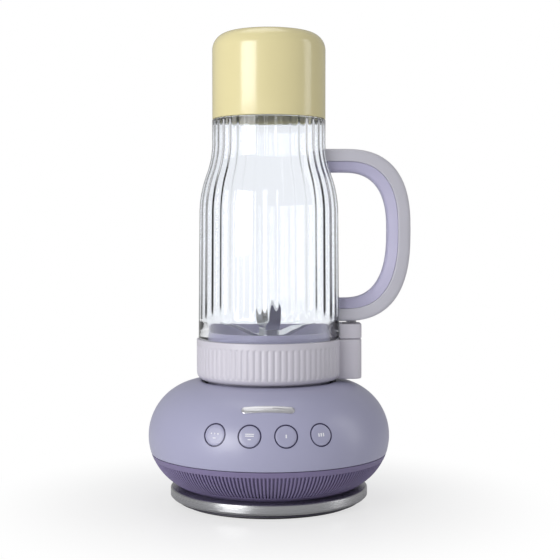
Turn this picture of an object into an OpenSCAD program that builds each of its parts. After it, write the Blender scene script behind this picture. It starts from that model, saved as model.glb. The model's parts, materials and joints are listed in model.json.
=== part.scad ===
// Countertop blender: a ring-shaped motor base that carries an inverted drinking tumbler on its blade base.
// Millimetres. +Z is up, z = 0 is the table, and the z axis is the drive shaft's axis.
// The handle points along +X, the buttons face -Y and the cord leaves at +Y.

/* [Motor base] */
// Diameter of the motor base at its widest
base_d = 156.4; // [130:0.2:188]
// Height of the motor base's top above the table
base_top = 78.6; // [66:0.2:95]
// Height at which the round body of the base would close at its foot
base_low = 8.2; // [6:0.2:10]
// Height of the seam between the upper housing and the vent skirt
seam_z = 32.2; // [28:0.2:38]
// Wall of the upper housing and of the vent skirt
shell_wall = 2.6; // [2:0.1:3.4]
// Diameter of the metal base disc
disc_d = 128; // [122:1:140]
// Thickness of the metal base disc
disc_t = 6.8; // [5:0.2:8.4]
// Height of the underside of the base disc above the table
disc_lift = 3.4; // [3:0.1:5]
// Width of the rubber foot ring
foot_w = 7; // [5:0.5:8.5]
// Number of vent slots round the skirt
slot_count = 60; // [40:4:80]
// Width of one vent slot
slot_w = 2.4; // [1.6:0.1:3]

/* [Buttons] */
// Radius of a button cap
button_r = 6.4; // [5:0.1:7.6]
// Width of the dark bezel round a button cap
bezel_w = 0.75; // [0.5:0.05:1]
// Angle between neighbouring buttons
button_step = 16.35; // [15:0.05:20]
// Height of the button centres above the table
button_z = 53.9; // [48:0.1:56]
// Travel of a button
button_travel = 1; // [0.6:0.1:1.4]

/* [Tumbler] */
// Outer diameter of the tumbler just above the grip ring
cup_d = 91.4; // [78:0.2:109]
// Outer diameter of the tumbler's narrow end
neck_d = 73.4; // [61:0.2:78]
// Length of the tumbler from the grip ring to the top of the boot
cup_h = 197; // [165:1:236]
// Wall of the tumbler
cup_wall = 2.6; // [2:0.1:3.2]
// Length of the boot on the narrow end
boot_h = 55.4; // [46:0.2:66]
// Wall of the boot
boot_wall = 2.2; // [1.8:0.1:2.8]

/* [Handle] */
// Reach of the handle's outside from the drive axis
handle_reach = 91.2; // [86:0.2:110]
// Thickness of the handle in its own plane
handle_t = 14.7; // [12:0.1:17]
// Depth of the handle across its own plane
handle_w = 21; // [17:0.5:25]
// Thickness of the soft grip on the inside of the handle
grip_t = 6.7; // [4:0.1:7]

/* [Blade base] */
// Height of the grip ring
ring_h = 26.6; // [24:0.2:32]
// How far the grip ring stands out past the tumbler
ring_step = 1.2; // [0.6:0.1:2.4]
// Tip radius of the blades
blade_r = 33; // [26:0.5:36]
// Thickness of the blade steel
blade_t = 1.6; // [1.2:0.1:2]
// Radius of the blade shaft
shaft_r = 4; // [3:0.1:4.6]
// Lead of the mouth thread
thread_lead = 12; // [10:0.5:14]

/* [Motor] */
// Outer radius of the stator
stator_r = 36; // [30:0.5:40]
// Outer radius of the rotor
rotor_r = 19; // [15:0.5:21]
// Radius of the motor shaft
motor_shaft_r = 4; // [3:0.1:4.6]

/* [Clearances] */
// Air gap between bodies that move past each other
gap = 0.3; // [0.2:0.05:0.5]
// Radial clearance of a shaft in its bearing
running = 0.03; // [0.02:0.01:0.08]
// Clearance of the drive splines
spline_gap = 0.35; // [0.2:0.05:0.5]

/* [Hidden] */
$fn = 96;
embed = 0.8;

// The base body is a ring of round section
tube_r = (base_top - base_low) / 2;
tube_z = (base_top + base_low) / 2;
ring_centre = base_d / 2 - tube_r;
seam_gap = 0.3;
lip_h = 3;
lip_t = 1.3;

// Levels of the base
disc_r = disc_d / 2;
disc_top = disc_lift + disc_t;
cover_t = 2;
cover_z = disc_lift - cover_t;
cover_r = disc_r - 4.5;
foot_groove = 1;
foot_r = cover_r - 2.5;
skirt_foot_r = ring_centre + sqrt(pow(tube_r, 2) - pow(tube_z - disc_top, 2));
disc_bore_r = skirt_foot_r - 4.4;
flange_t = 2.6;
flange_bore_r = skirt_foot_r - 15;
cover_screw_r = disc_bore_r - 4.4;
cover_screw_n = 6;
post_r = ring_centre + 17;
post_n = 4;
vent_top = seam_z - 4.6;
vent_low = disc_top + 4.4;

// Screws
screw_r = 1.5;
head_r = 2.8;
head_h = 2;
pilot_r = 1.5;
screw_hole_r = 1.75;

// The blade base's drop into the base
cup_r = cup_d / 2;
ring_r = cup_r + ring_step;
ring_z = base_top + 0.6;
ring_top = ring_z + ring_h;
ring_fillet = 5.5;
mouth_r = cup_r - 2.4;
thread_h = 1.1;
thread_t = 2.2;
thread_pitch = thread_lead / 2;
thread_seg = 22;
thread_tilt = atan(thread_lead / (2 * PI * mouth_r));
ring_bore_r = mouth_r + thread_h + gap;
well_r = ring_r - 3.5;
well_depth = 18.6;
well_floor = base_top - well_depth;
well_floor_t = 2.4;
liner_wall = 2;
liner_flange_z = well_floor + 3;
liner_flange_t = 2.4;
liner_flange_r = well_r + liner_wall + 9;
liner_screw_r = well_r + liner_wall + 5;
seat_t = 2.2;
skirt_r = well_r - 3.8;
skirt_wall = 2.2;
skirt_low = well_floor + seat_t + gap;
lug_n = 4;
lug_span = 24;
lug_h = 3.6;
lug_reach = well_r - liner_wall - skirt_r - gap;
lock_turn = 30;
lip_span = 28;
deck_z = ring_z + 3.6;
deck_t = 3;
gasket_t = 1.8;
mouth_z = deck_z + deck_t + gasket_t + 0.2;
collar_r = mouth_r - cup_wall - 0.35;
collar_wall = 1.8;
collar_top = ring_top + 5;

// Interlock pin under a ramp on the blade base's foot
pin_r = 1.2;
pin_travel = 2;
pin_at = 255;
pin_top = well_floor + seat_t + pin_travel;
pin_flange_z = well_floor - well_floor_t - 1.3;
ramp_r = skirt_r - skirt_wall / 2;
ramp_span = lock_turn + 8;
ramp_tilt = atan(pin_travel / (ramp_r * lock_turn * PI / 180));

// Hub, bearings and drive
hub_r = 13;
bearing_r = 8;
bearing_h = 5;
hub_low = well_floor + 17;
hub_top = deck_z + 20;
low_bearing_z = hub_low + 1.2;
high_bearing_z = hub_top - bearing_h - 5;
seal_h = 3.4;
coupler_r = 9.6;
coupler_core_r = 6.6;
coupler_tooth = 3.4;
coupler_n = 6;
coupler_z = well_floor + 0.8;
coupler_h = 11;
coupling_r = 14;
coupling_z = coupler_z + 1.2;
coupling_h = coupler_h + 3.4;
shaft_low = coupler_z + coupler_h + 2 * gap;
blade_z = hub_top + 2.4;
spacer_h = 3;
nut_h = 5;
nut_r = 6.2;
lower_blade_z = blade_z;
upper_blade_z = lower_blade_z + blade_t + spacer_h;
nut_z = upper_blade_z + blade_t;
washer_h = blade_z - hub_top - gap;

// Motor, hung under the well
motor_top = well_floor - well_floor_t - 0.6;
frame_t = 3;
frame_r = stator_r + 1;
fan_h = 6;
fan_z = disc_top + flange_t + 0.8;
fan_r = 31;
low_frame_z = fan_z + fan_h + 1.2;
up_frame_z = motor_top - frame_t - 1.4;
commutator_h = 9;
stack_top = up_frame_z - commutator_h - 5;
stack_low = low_frame_z + frame_t + 6.2;
stack_h = max(stack_top - stack_low, 4);
coil_h = 3.6;
air_gap = 0.6;
rod_r = stator_r - 4;
rod_n = 4;
motor_bearing_r = 8;
motor_bearing_h = 5;

// Tumbler
cup_top = ring_top + cup_h;
boot_low = cup_top - boot_h;
neck_r = neck_d / 2;
boot_r = neck_r - 0.1;
boot_corner = 11;
boot_gap = 0.3;
foot_cup_r = boot_r - boot_wall - boot_gap;
foot_cup_corner = boot_corner - boot_wall - boot_gap;
cup_end = cup_top - boot_wall - boot_gap;
cup_floor_t = 3;
shoulder_angle = 20.5;
shoulder_drop = cup_r - 0.7 - neck_r;
shoulder_low = boot_low - 61;
shoulder_concave = shoulder_drop * 0.44 / (1 - cos(shoulder_angle));
shoulder_convex = shoulder_drop * 0.56 / (1 - cos(shoulder_angle));
shoulder_len = (shoulder_concave + shoulder_convex) * sin(shoulder_angle);

// Handle, in the XZ plane
handle_mid = (boot_low + ring_top) / 2 - 1;
handle_top = boot_low - 19.3;
handle_low = ring_top + 11.6;
handle_power = 2.6;
handle_root_x = cup_r + 3;
handle_arm_t = 14;
grip_w = handle_w - 4;
foot_gap = 0.4;
tenon_w = 8;
tenon_h = 6;
tenon_reach = 9;
tenon_x = cup_r - 1.2;
low_arm_z = handle_low + 9.6;
high_arm_z = handle_top - 7;

// Locking slider under the handle
block_w = 22;
block_in = cup_r + 1.4;
block_out = 60;
block_corner = 6;
block_h = 9.6;
block_z = ring_top + gap;
slider_travel = 1.8;
stem_r = 2.2;
stem_x = (block_in + block_out) / 2;
stem_len = 4.6;
stem_top = block_z + block_h + stem_len;
spring_wire = 0.45;
spring_r = 2.9;
spring_turns = 4;
spring_low = block_z + block_h + 0.1;
spring_high = handle_low + 3.4;

// Control boards and gland
button_lift = asin((button_z - tube_z) / tube_r);
button_depth = 5;
switch_h = 3.4;
stem_in = 3.2;
board_in = shell_wall + button_depth + stem_in + switch_h;
board_z = seam_z - 9;
gland_z = tube_z + 1;
gland_bore_r = 3.7;
gland_r = 6;
gland_flange_r = 7.6;
gland_len = 14;

// ---------- helpers ----------

module tube(r_out, r_in, z0, z1) {
    difference() {
        translate([0, 0, z0]) cylinder(r = r_out, h = z1 - z0);
        translate([0, 0, z0 - 1]) cylinder(r = r_in, h = z1 - z0 + 2);
    }
}

module disc(r, z0, z1) {
    translate([0, 0, z0]) cylinder(r = r, h = z1 - z0);
}

module around(n, r = 0, start = 0) {
    for (i = [0 : n - 1]) rotate([0, 0, start + i * 360 / n]) translate([r, 0, 0]) children();
}

// Section of the base body, between two heights and outside a radius, drawn in from the surface by inset
module body_section(inset, x0, z0, z1) {
    intersection() {
        translate([ring_centre, tube_z]) circle(r = tube_r - inset);
        translate([x0, z0]) square([base_d, z1 - z0]);
    }
}

module body_shell(z0, z1, x0, wall) {
    rotate_extrude() difference() {
        body_section(0, x0, z0, z1);
        translate([ring_centre, tube_z]) circle(r = tube_r - wall);
    }
}

// Solid ring of the base's outer shape, drawn in by inset
module body_solid(inset = 0) {
    rotate_extrude($fn = 240) body_section(inset, 1, 0, base_top + 10);
}

// Puts the children on the front of the base, with their +Z out along the surface's normal
module on_front(turn, lift) {
    rotate([0, 0, turn - 90]) translate([ring_centre, 0, tube_z]) rotate([0, -lift, 0])
        translate([tube_r, 0, 0]) rotate([0, 90, 0]) children();
}

// One segment of a ring, tilted to follow a helix or ramp
module tilted_arc(r_in, r_out, h, span, tilt) {
    rotate([tilt, 0, 0]) rotate([0, 0, -span / 2]) rotate_extrude(angle = span)
        translate([r_in, -h / 2]) square([r_out - r_in, h]);
}

module arc_block(r_in, r_out, z0, z1, from, to) {
    rotate([0, 0, from]) rotate_extrude(angle = to - from)
        translate([r_in, z0]) square([r_out - r_in, z1 - z0]);
}

module screw(len) {
    translate([0, 0, -head_h]) cylinder(r = head_r, h = head_h);
    cylinder(r = screw_r, h = len);
}

// ---------- motor base shells ----------

module upper_housing() {
    color("#a9a6cf") difference() {
        union() {
            body_shell(seam_z + seam_gap, base_top + 1, well_r + gap, shell_wall);
            tube(well_r + gap + 1.8, well_r + gap, base_top - 7, base_top - 1.2);
            around(lug_n, liner_screw_r, 45) housing_boss();
            around(post_n, post_r, 45) housing_post();
            for (a = [-2, 0, 2]) on_front(a * button_step, button_lift)
                translate([0, 0, -board_in + 0.15]) cylinder(r = 2, h = board_in - shell_wall / 2);
        }
        for (i = [0 : 3]) on_front((i - 1.5) * button_step, button_lift)
            translate([0, 0, -8]) cylinder(r = button_r + bezel_w + 0.05, h = 12);
        translate([0, 0, gland_z]) rotate([-90, 0, 0]) cylinder(r = gland_r + 0.1, h = base_d);
    }
}

// A boss that hangs from the crown and takes a liner screw
module housing_boss() {
    intersection() {
        translate([0, 0, liner_flange_z + liner_flange_t]) difference() {
            cylinder(r = 3.4, h = 30);
            translate([0, 0, -1]) cylinder(r = pilot_r, h = 9);
        }
        at_axis(liner_screw_r) body_solid(shell_wall / 2);
    }
}

// A post that comes down from the crown to meet the skirt's post
module housing_post() {
    intersection() {
        translate([0, 0, seam_z + seam_gap]) difference() {
            cylinder(r = 3.8, h = 60);
            translate([0, 0, -1]) cylinder(r = pilot_r, h = 13);
        }
        at_axis(post_r) body_solid(shell_wall / 2);
    }
}

// Draws children of the drive axis from inside a piece that was moved out by r
module at_axis(r) {
    translate([-r, 0, 0]) children();
}

module vent_skirt() {
    color("#5f5382") difference() {
        union() {
            body_shell(disc_top, seam_z, skirt_foot_r - 8, shell_wall);
            tube(skirt_foot_r - 1, flange_bore_r, disc_top, disc_top + flange_t);
            skirt_lip();
            around(post_n, post_r, 45) skirt_post();
            around(cover_screw_n, cover_screw_r, 30) translate([0, 0, disc_top])
                cylinder(r = 3.6, h = 9);
        }
        around(slot_count, 0, 180 / slot_count) vent_slot();
        around(cover_screw_n, cover_screw_r, 30) translate([0, 0, disc_top - 1])
            cylinder(r = pilot_r, h = 8.5);
        around(post_n, post_r, 45) translate([0, 0, 0]) {
            cylinder(r = screw_hole_r, h = seam_z + 10);
            cylinder(r = head_r + 0.3, h = disc_top + 9);
        }
    }
}

// Tongue that locates the skirt inside the upper housing
module skirt_lip() {
    rotate_extrude() intersection() {
        difference() {
            translate([ring_centre, tube_z]) circle(r = tube_r - shell_wall - 0.15);
            translate([ring_centre, tube_z]) circle(r = tube_r - shell_wall - 0.15 - lip_t);
        }
        translate([ring_centre, seam_z - lip_h]) square([base_d, 2 * lip_h]);
    }
    rotate_extrude() intersection() {
        difference() {
            translate([ring_centre, tube_z]) circle(r = tube_r - shell_wall / 2);
            translate([ring_centre, tube_z]) circle(r = tube_r - shell_wall - lip_t);
        }
        translate([ring_centre, seam_z - lip_h]) square([base_d, lip_h - 0.4]);
    }
}

module skirt_post() {
    intersection() {
        cylinder(r = 3.8, h = seam_z);
        at_axis(post_r) body_solid(shell_wall / 2);
    }
}

module vent_slot() {
    translate([ring_centre, -slot_w / 2, vent_low]) cube([base_d, slot_w, vent_top - vent_low]);
}

module base_disc() {
    edge = 0.7;
    color("#9a9c9e") rotate_extrude() polygon([
        [disc_bore_r, disc_lift], [disc_r - 2 * edge, disc_lift], [disc_r, disc_lift + 2 * edge],
        [disc_r, disc_top - edge], [disc_r - edge, disc_top], [disc_bore_r, disc_top]
    ]);
}

module bottom_cover() {
    color("#3b3844") difference() {
        union() {
            disc(cover_r, cover_z, disc_lift);
            around(cover_screw_n, cover_screw_r, 30) translate([0, 0, cover_z])
                cylinder(r = 4, h = disc_top - cover_z);
            tube(disc_bore_r - gap, disc_bore_r - 2.2, disc_lift - embed, disc_top - 1);
        }
        tube(foot_r, foot_r - foot_w, cover_z - 1, cover_z + foot_groove);
        around(cover_screw_n, cover_screw_r, 30) {
            cylinder(r = screw_hole_r, h = disc_top + 1);
            cylinder(r = head_r + 0.3, h = cover_z + 3.4);
        }
        around(12, 0, 15) translate([12, -1.6, 0]) cube([disc_bore_r - 26, 3.2, disc_lift + 1]);
    }
}

module foot_ring() {
    color("#26252b") tube(foot_r - 0.1, foot_r - foot_w + 0.1, 0, cover_z + foot_groove);
}

module cover_screws() {
    color("#b9bbbf") around(cover_screw_n, cover_screw_r, 30)
        translate([0, 0, cover_z + 3.4]) screw(disc_top - cover_z + 2.6);
}

module housing_screws() {
    color("#b9bbbf") around(post_n, post_r, 45)
        translate([0, 0, disc_top + 9]) screw(seam_z - disc_top + 1);
}

// ---------- well ----------

module well_liner() {
    color("#4c475c") difference() {
        union() {
            tube(well_r, well_r - liner_wall, well_floor - well_floor_t, base_top - 1);
            disc(well_r - liner_wall + embed, well_floor - well_floor_t, well_floor);
            tube(liner_flange_r, well_r - embed, liner_flange_z, liner_flange_z + liner_flange_t);
            around(lug_n, 0, 45 - lock_turn - lip_span / 2) {
                arc_block(skirt_r + gap, well_r - liner_wall + embed,
                    skirt_low + lug_h + gap, skirt_low + lug_h + gap + 3, 0, lip_span);
                arc_block(skirt_r + gap + 0.2, well_r - liner_wall + embed - 0.2,
                    well_floor - embed, skirt_low + lug_h + gap + 2, -3, 2);
            }
            tube(17.5, 15.8, well_floor - embed, well_floor + 3);
        }
        translate([0, 0, well_floor - 10]) cylinder(r = motor_shaft_r + 1.5, h = 20);
        around(lug_n, liner_screw_r, 45) translate([0, 0, well_floor - 5])
            cylinder(r = screw_hole_r, h = 30);
        rotate([0, 0, pin_at]) translate([ramp_r, 0, well_floor - 10])
            cylinder(r = pin_r + 0.15, h = 20);
        around(rod_n, rod_r, 0) translate([0, 0, well_floor - 10]) cylinder(r = screw_hole_r, h = 20);
        around(rod_n, rod_r, 0) translate([0, 0, well_floor - 1.2]) cylinder(r = head_r + 0.2, h = 10);
    }
}

module liner_screws() {
    color("#b9bbbf") around(lug_n, liner_screw_r, 45)
        translate([0, 0, liner_flange_z]) screw(liner_flange_t + 7);
}

module seat_ring() {
    color("#35323f") difference() {
        tube(well_r - liner_wall - 0.2, skirt_r - skirt_wall - 1.2, well_floor, well_floor + seat_t);
        around(lug_n, 0, 45 - lock_turn - lip_span / 2) arc_block(skirt_r - 0.4, well_r,
            well_floor - 1, well_floor + seat_t + 1, -5, 3);
        rotate([0, 0, pin_at]) translate([ramp_r, 0, well_floor - 1])
            cylinder(r = pin_r + 0.4, h = 10);
    }
}

module front_badge() {
    badge_w = 32;
    badge_h = 5;
    badge_lift = 46;
    color("#e6e7ea") intersection() {
        on_front(0, badge_lift) translate([0, 0, -1.6]) linear_extrude(6) union() {
            square([badge_h, badge_w - badge_h], center = true);
            for (s = [-1, 1]) translate([0, s * (badge_w - badge_h) / 2]) circle(r = badge_h / 2);
        }
        difference() {
            body_solid(-0.7);
            body_solid(-0.05);
        }
    }
}

// ---------- buttons and boards ----------

module button_bezels() {
    color("#2e2a47") for (i = [0 : 3]) intersection() {
        on_front((i - 1.5) * button_step, button_lift) translate([0, 0, -shell_wall - 0.6]) difference() {
            cylinder(r = button_r + bezel_w, h = 10);
            translate([0, 0, -1]) cylinder(r = button_r + 0.15, h = 12);
        }
        body_solid(0.05);
    }
}

module button(i) {
    color("#a9a6cf") union() {
        intersection() {
            on_front((i - 1.5) * button_step, button_lift)
                translate([0, 0, -shell_wall - button_depth]) cylinder(r = button_r, h = 20);
            body_solid(0);
        }
        on_front((i - 1.5) * button_step, button_lift) {
            translate([0, 0, -shell_wall - button_depth + 0.6]) cylinder(r = button_r + 1.4, h = 1.4);
            translate([0, 0, -shell_wall - button_depth - stem_in + gap]) cylinder(r = 1.6, h = stem_in + 1);
        }
    }
}

module control_board() {
    board_half = 2.2 * button_step;
    color("#1f6b45") rotate([0, 0, -90 - board_half]) rotate_extrude(angle = 2 * board_half)
        translate([ring_centre, tube_z]) rotate([0, 0, button_lift])
            translate([tube_r - board_in - 1.6, -9]) square([1.6, 18]);
}

module tact_switches() {
    color("#2b2b30") for (i = [0 : 3]) on_front((i - 1.5) * button_step, button_lift)
        translate([0, 0, -board_in + 0.15]) union() {
            translate([-3, -3, 0]) cube([6, 6, switch_h - 1.6]);
            cylinder(r = 1.5, h = switch_h - 0.15 - button_travel - gap);
        }
}

module power_board() {
    color("#1f6b45") union() {
        translate([-26, ring_centre + 1, board_z]) cube([52, 18, 1.6]);
        for (x = [-20, 20]) translate([x, ring_centre + 4, disc_top + flange_t])
            cylinder(r = 2, h = board_z + embed - disc_top - flange_t);
    }
}

module power_components() {
    color("#33353a") translate([0, ring_centre, board_z + 1.6]) {
        translate([-12, 10, 0]) cylinder(r = 5.5, h = 10);
        translate([-24.5, 4, 0]) cube([4, 12, 9]);
        translate([0, 4, 0]) cube([12, 12, 7]);
        translate([18, 3, 0]) cube([3, 14, 11]);
    }
}

module interlock_switch() {
    switch_top = pin_flange_z - pin_travel - gap;
    color("#202124") rotate([0, 0, pin_at]) translate([frame_r + gap, 0, 0]) union() {
        translate([0, -6.5, switch_top - 5]) cube([6, 13, 5]);
        for (s = [-1, 1]) translate([0, s * 5.5 - 1, switch_top - 1])
            cube([6, 2, well_floor - well_floor_t - switch_top + 1]);
    }
}

module interlock_pin() {
    color("#d9d7de") rotate([0, 0, pin_at]) translate([ramp_r, 0, 0]) union() {
        disc(pin_r, pin_flange_z, pin_top);
        disc(pin_r + 1, pin_flange_z, pin_flange_z + 1);
    }
}

module cord_gland() {
    gland_y = ring_centre + sqrt(pow(tube_r, 2) - pow(gland_z - tube_z, 2));
    color("#2a2830") translate([0, gland_y - 9.5, gland_z]) rotate([-90, 0, 0]) difference() {
        union() {
            cylinder(r = gland_r, h = gland_len);
            translate([0, 0, 0]) cylinder(r = gland_flange_r, h = 2.2);
            translate([0, 0, 10]) cylinder(r1 = gland_flange_r, r2 = gland_r, h = gland_len - 10);
        }
        translate([0, 0, -1]) cylinder(r = gland_bore_r, h = gland_len + 2);
    }
}

module fan_shroud() {
    color("#4c475c") difference() {
        union() {
            tube(fan_r + 3.4, fan_r + 1.6, disc_top + flange_t, low_frame_z);
            tube(flange_bore_r + 2.4, fan_r + 1.6, disc_top + flange_t, disc_top + flange_t + 1.2);
        }
        around(8, 0, 22.5) translate([fan_r, -5, fan_z + 1.2]) cube([6, 10, fan_h - 2]);
        around(rod_n, rod_r) disc(head_r + gap, low_frame_z - head_h - gap, low_frame_z + 1);
    }
}

// ---------- motor ----------

module frame_plate(z) {
    difference() {
        intersection() {
            disc(frame_r, z, z + frame_t);
            union() {
                for (a = [0, 90]) rotate([0, 0, a])
                    translate([-frame_r - 1, -7, z - 1]) cube([2 * frame_r + 2, 14, frame_t + 2]);
                disc(16, z - 1, z + frame_t + 1);
            }
        }
        disc(motor_shaft_r + 1, z - 1, z + frame_t + 1);
        around(rod_n, rod_r) translate([0, 0, z - 1]) cylinder(r = screw_hole_r, h = frame_t + 2);
    }
}

module motor_upper_frame() {
    color("#8f9196") difference() {
        union() {
            frame_plate(up_frame_z);
            disc(motor_bearing_r + 2.4, up_frame_z + frame_t - motor_bearing_h - 1, up_frame_z + frame_t);
            around(rod_n, rod_r) tube(3.2, screw_hole_r, stack_low + stack_h, up_frame_z + embed);
        }
        disc(motor_bearing_r, up_frame_z + frame_t - motor_bearing_h, up_frame_z + frame_t + 1);
        disc(motor_shaft_r + 1, up_frame_z - 10, up_frame_z + frame_t + 1);
    }
}

module motor_lower_frame() {
    color("#8f9196") difference() {
        union() {
            frame_plate(low_frame_z);
            disc(motor_bearing_r + 2.4, low_frame_z, low_frame_z + motor_bearing_h + 1);
            around(rod_n, rod_r) tube(3.2, screw_hole_r, low_frame_z + frame_t - embed, stack_low);
        }
        disc(motor_bearing_r, low_frame_z - 1, low_frame_z + motor_bearing_h);
        disc(motor_shaft_r + 1, low_frame_z - 1, low_frame_z + motor_bearing_h + 2);
    }
}

module stator_core() {
    color("#6f7278") difference() {
        disc(stator_r, stack_low, stack_low + stack_h);
        disc(rotor_r + air_gap, stack_low - 1, stack_low + stack_h + 1);
        for (a = [0, 180]) rotate([0, 0, a + 45]) arc_block(rotor_r - 1, stator_r - 6,
            stack_low - 1, stack_low + stack_h + 1, -38, 38);
        around(rod_n, rod_r) translate([0, 0, stack_low - 1]) cylinder(r = screw_hole_r, h = stack_h + 2);
    }
}

module stator_coils() {
    color("#b4642f") for (a = [0, 180]) rotate([0, 0, a + 45])
        arc_block(rotor_r + 2, stator_r - 6.8, stack_low - coil_h, stack_low + stack_h + coil_h, -35, 35);
}

module brush_holders() {
    color("#3a3d42") for (a = [0, 180]) rotate([0, 0, a + 45]) difference() {
        translate([12, -4, up_frame_z - commutator_h - 0.7]) cube([14, 8, commutator_h + 0.5]);
        translate([11, -2.6, up_frame_z - commutator_h + 0.5]) cube([12, 5.2, 5]);
    }
}

module carbon_brushes() {
    color("#1d1d1f") for (a = [0, 180]) rotate([0, 0, a + 45])
        translate([10.3, -2.5, up_frame_z - commutator_h + 0.6]) cube([10, 5, 4.8]);
}

module motor_bearings() {
    color("#c3c6ca") {
        tube(motor_bearing_r, motor_shaft_r + running,
            up_frame_z + frame_t - motor_bearing_h, up_frame_z + frame_t);
        tube(motor_bearing_r, motor_shaft_r + running, low_frame_z, low_frame_z + motor_bearing_h);
    }
}

module motor_screws() {
    color("#b9bbbf") around(rod_n, rod_r) union() {
        translate([0, 0, low_frame_z - head_h]) cylinder(r = head_r, h = head_h);
        translate([0, 0, low_frame_z - head_h]) cylinder(r = screw_r, h = well_floor - low_frame_z + head_h);
        translate([0, 0, well_floor - 1.1]) cylinder(r = head_r, h = 1);
    }
}

module motor_isolators() {
    color("#2a2830") around(rod_n, rod_r)
        tube(4.6, screw_r + 0.1, up_frame_z + frame_t, well_floor - well_floor_t);
}

module motor_shaft() {
    color("#c3c6ca") disc(motor_shaft_r, fan_z - 1, coupler_z + 5);
}

module rotor_core() {
    color("#6f7278") difference() {
        disc(rotor_r, stack_low, stack_low + stack_h);
        disc(motor_shaft_r, stack_low - 1, stack_low + stack_h + 1);
        around(12) translate([rotor_r - 4.5, -1.2, stack_low - 1]) cube([6, 2.4, stack_h + 2]);
    }
}

module rotor_windings() {
    color("#c0702f") {
        tube(rotor_r - 2.4, motor_shaft_r + 1.2, stack_low + stack_h, stack_low + stack_h + 3);
        tube(rotor_r - 2.4, motor_shaft_r + 1.2, stack_low - 3, stack_low);
        around(12) translate([rotor_r - 4.4, -1.1, stack_low]) cube([2.2, 2.2, stack_h]);
    }
}

module commutator() {
    color("#b87333") difference() {
        disc(10, up_frame_z - commutator_h - 0.6, up_frame_z - 3.4);
        disc(motor_shaft_r, up_frame_z - commutator_h - 2, up_frame_z);
        around(12, 0, 15) translate([9.2, -0.25, up_frame_z - commutator_h - 2]) cube([2, 0.5, commutator_h + 3]);
    }
}

module cooling_fan() {
    color("#d8d8dc") difference() {
        union() {
            disc(fan_r - 1, fan_z, fan_z + 1.4);
            disc(9, fan_z, fan_z + fan_h);
            around(11) translate([8.4, -0.7, fan_z + 0.7]) cube([fan_r - 11, 1.4, fan_h - 1.4]);
        }
        disc(motor_shaft_r, fan_z - 1, fan_z + fan_h + 1);
    }
}

// Splined boss of radius r with six teeth, grown all round by grow
module spline(core_r, r, tooth, grow, z0, z1) {
    disc(core_r + grow, z0, z1);
    for (a = [0 : 360 / coupler_n : 179]) rotate([0, 0, a])
        translate([-r - grow, -tooth / 2 - grow, z0]) cube([2 * (r + grow), tooth + 2 * grow, z1 - z0]);
}

module drive_coupler() {
    color("#1f1f24") difference() {
        union() {
            spline(coupler_core_r, coupler_r, coupler_tooth, 0, coupler_z, coupler_z + coupler_h);
            disc(coupler_r + 1, coupler_z - 0.4, coupler_z + 1);
        }
        disc(motor_shaft_r, coupler_z - 2, coupler_z + 5);
    }
}

// ---------- blade base ----------

module grip_ring() {
    color("#c9c6d2") union() {
        rotate_extrude() ring_section();
        ring_tab(ring_z + 1, ring_top);
        ring_threads();
    }
}

module ring_section() {
    difference() {
        union() {
            translate([ring_r - ring_fillet, ring_z + ring_fillet]) circle(r = ring_fillet);
            translate([ring_bore_r - 7, ring_z]) square([ring_r - ring_fillet - ring_bore_r + 7, ring_h]);
            translate([ring_r - ring_fillet - 1, ring_z + ring_fillet])
                square([ring_fillet + 1, ring_h - ring_fillet]);
        }
        translate([ring_bore_r - 20, deck_z]) square([20, ring_h + 5]);
        translate([skirt_r - 20, ring_z - 5]) square([20 + gap, ring_h]);
    }
}

// Plan of the tab and of the slider over it
module block_plan(grow = 0) {
    hull() {
        translate([block_in + 1, -block_w / 2 - grow]) square([1, block_w + 2 * grow]);
        for (s = [-1, 1]) translate([block_out - block_corner + grow, s * (block_w / 2 - block_corner + grow)])
            circle(r = block_corner, $fn = 32);
    }
}

module ring_tab(z0, z1) {
    difference() {
        translate([0, 0, z0]) linear_extrude(z1 - z0) union() {
            block_plan();
            translate([ring_bore_r + 1, -block_w / 2]) square([8, block_w]);
        }
        disc(ring_r - 1.5, z0 - 1, z1 + 1);
    }
}

// Segments of the two-start thread: z is the centre height at angle 0
module thread_segments(r_in, r_out, z, first, count) {
    for (start = [0, 180]) for (k = [first : first + count - 1])
        rotate([0, 0, start + k * 30]) translate([0, 0, z + thread_lead * k * 30 / 360])
            tilted_arc(r_in, r_out, thread_t, thread_seg, thread_tilt);
}

thread_z = mouth_z + 3.2;

module ring_threads() {
    thread_segments(mouth_r + gap, ring_bore_r + 0.6, thread_z + thread_t + 0.15, 3, 4);
}

module blade_deck() {
    color("#b8b4cf") difference() {
        union() {
            disc(ring_bore_r - gap, deck_z, deck_z + deck_t);
            tube(collar_r, collar_r - collar_wall, deck_z, collar_top);
            tube(skirt_r, skirt_r - skirt_wall, skirt_low, deck_z + embed);
            disc(hub_r, hub_low, hub_top);
            around(6, 0, 30) translate([hub_r - 2, -0.9, deck_z - 6]) cube([skirt_r - hub_r, 1.8, 6 + embed]);
            around(lug_n, 0, 45) arc_block(skirt_r - 0.6, skirt_r + lug_reach,
                skirt_low, skirt_low + lug_h, -lug_span / 2, lug_span / 2);
        }
        tube(ring_bore_r - 0.8, collar_r + 0.4, deck_z + deck_t - 0.6, deck_z + deck_t + 1);
        disc(bearing_r, hub_low - 1, low_bearing_z + bearing_h);
        disc(bearing_r, high_bearing_z, hub_top + 1);
        disc(bearing_r - 1.6, hub_low - 1, hub_top + 1);
        pin_ramp();
    }
}

// Ramp cut in the foot of the blade base: it presses the interlock pin as the base is turned to lock
module pin_ramp() {
    rotate([0, 0, pin_at + lock_turn / 2]) translate([0, 0, skirt_low + pin_travel / 2 - 3])
        tilted_arc(skirt_r - skirt_wall - 1, skirt_r + 1, 6, ramp_span, -ramp_tilt);
}

module shaft_seal() {
    color("#3a3645") tube(bearing_r - 0.05, shaft_r + 0.05, high_bearing_z + bearing_h + 0.2,
        high_bearing_z + bearing_h + 0.2 + seal_h);
}

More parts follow.
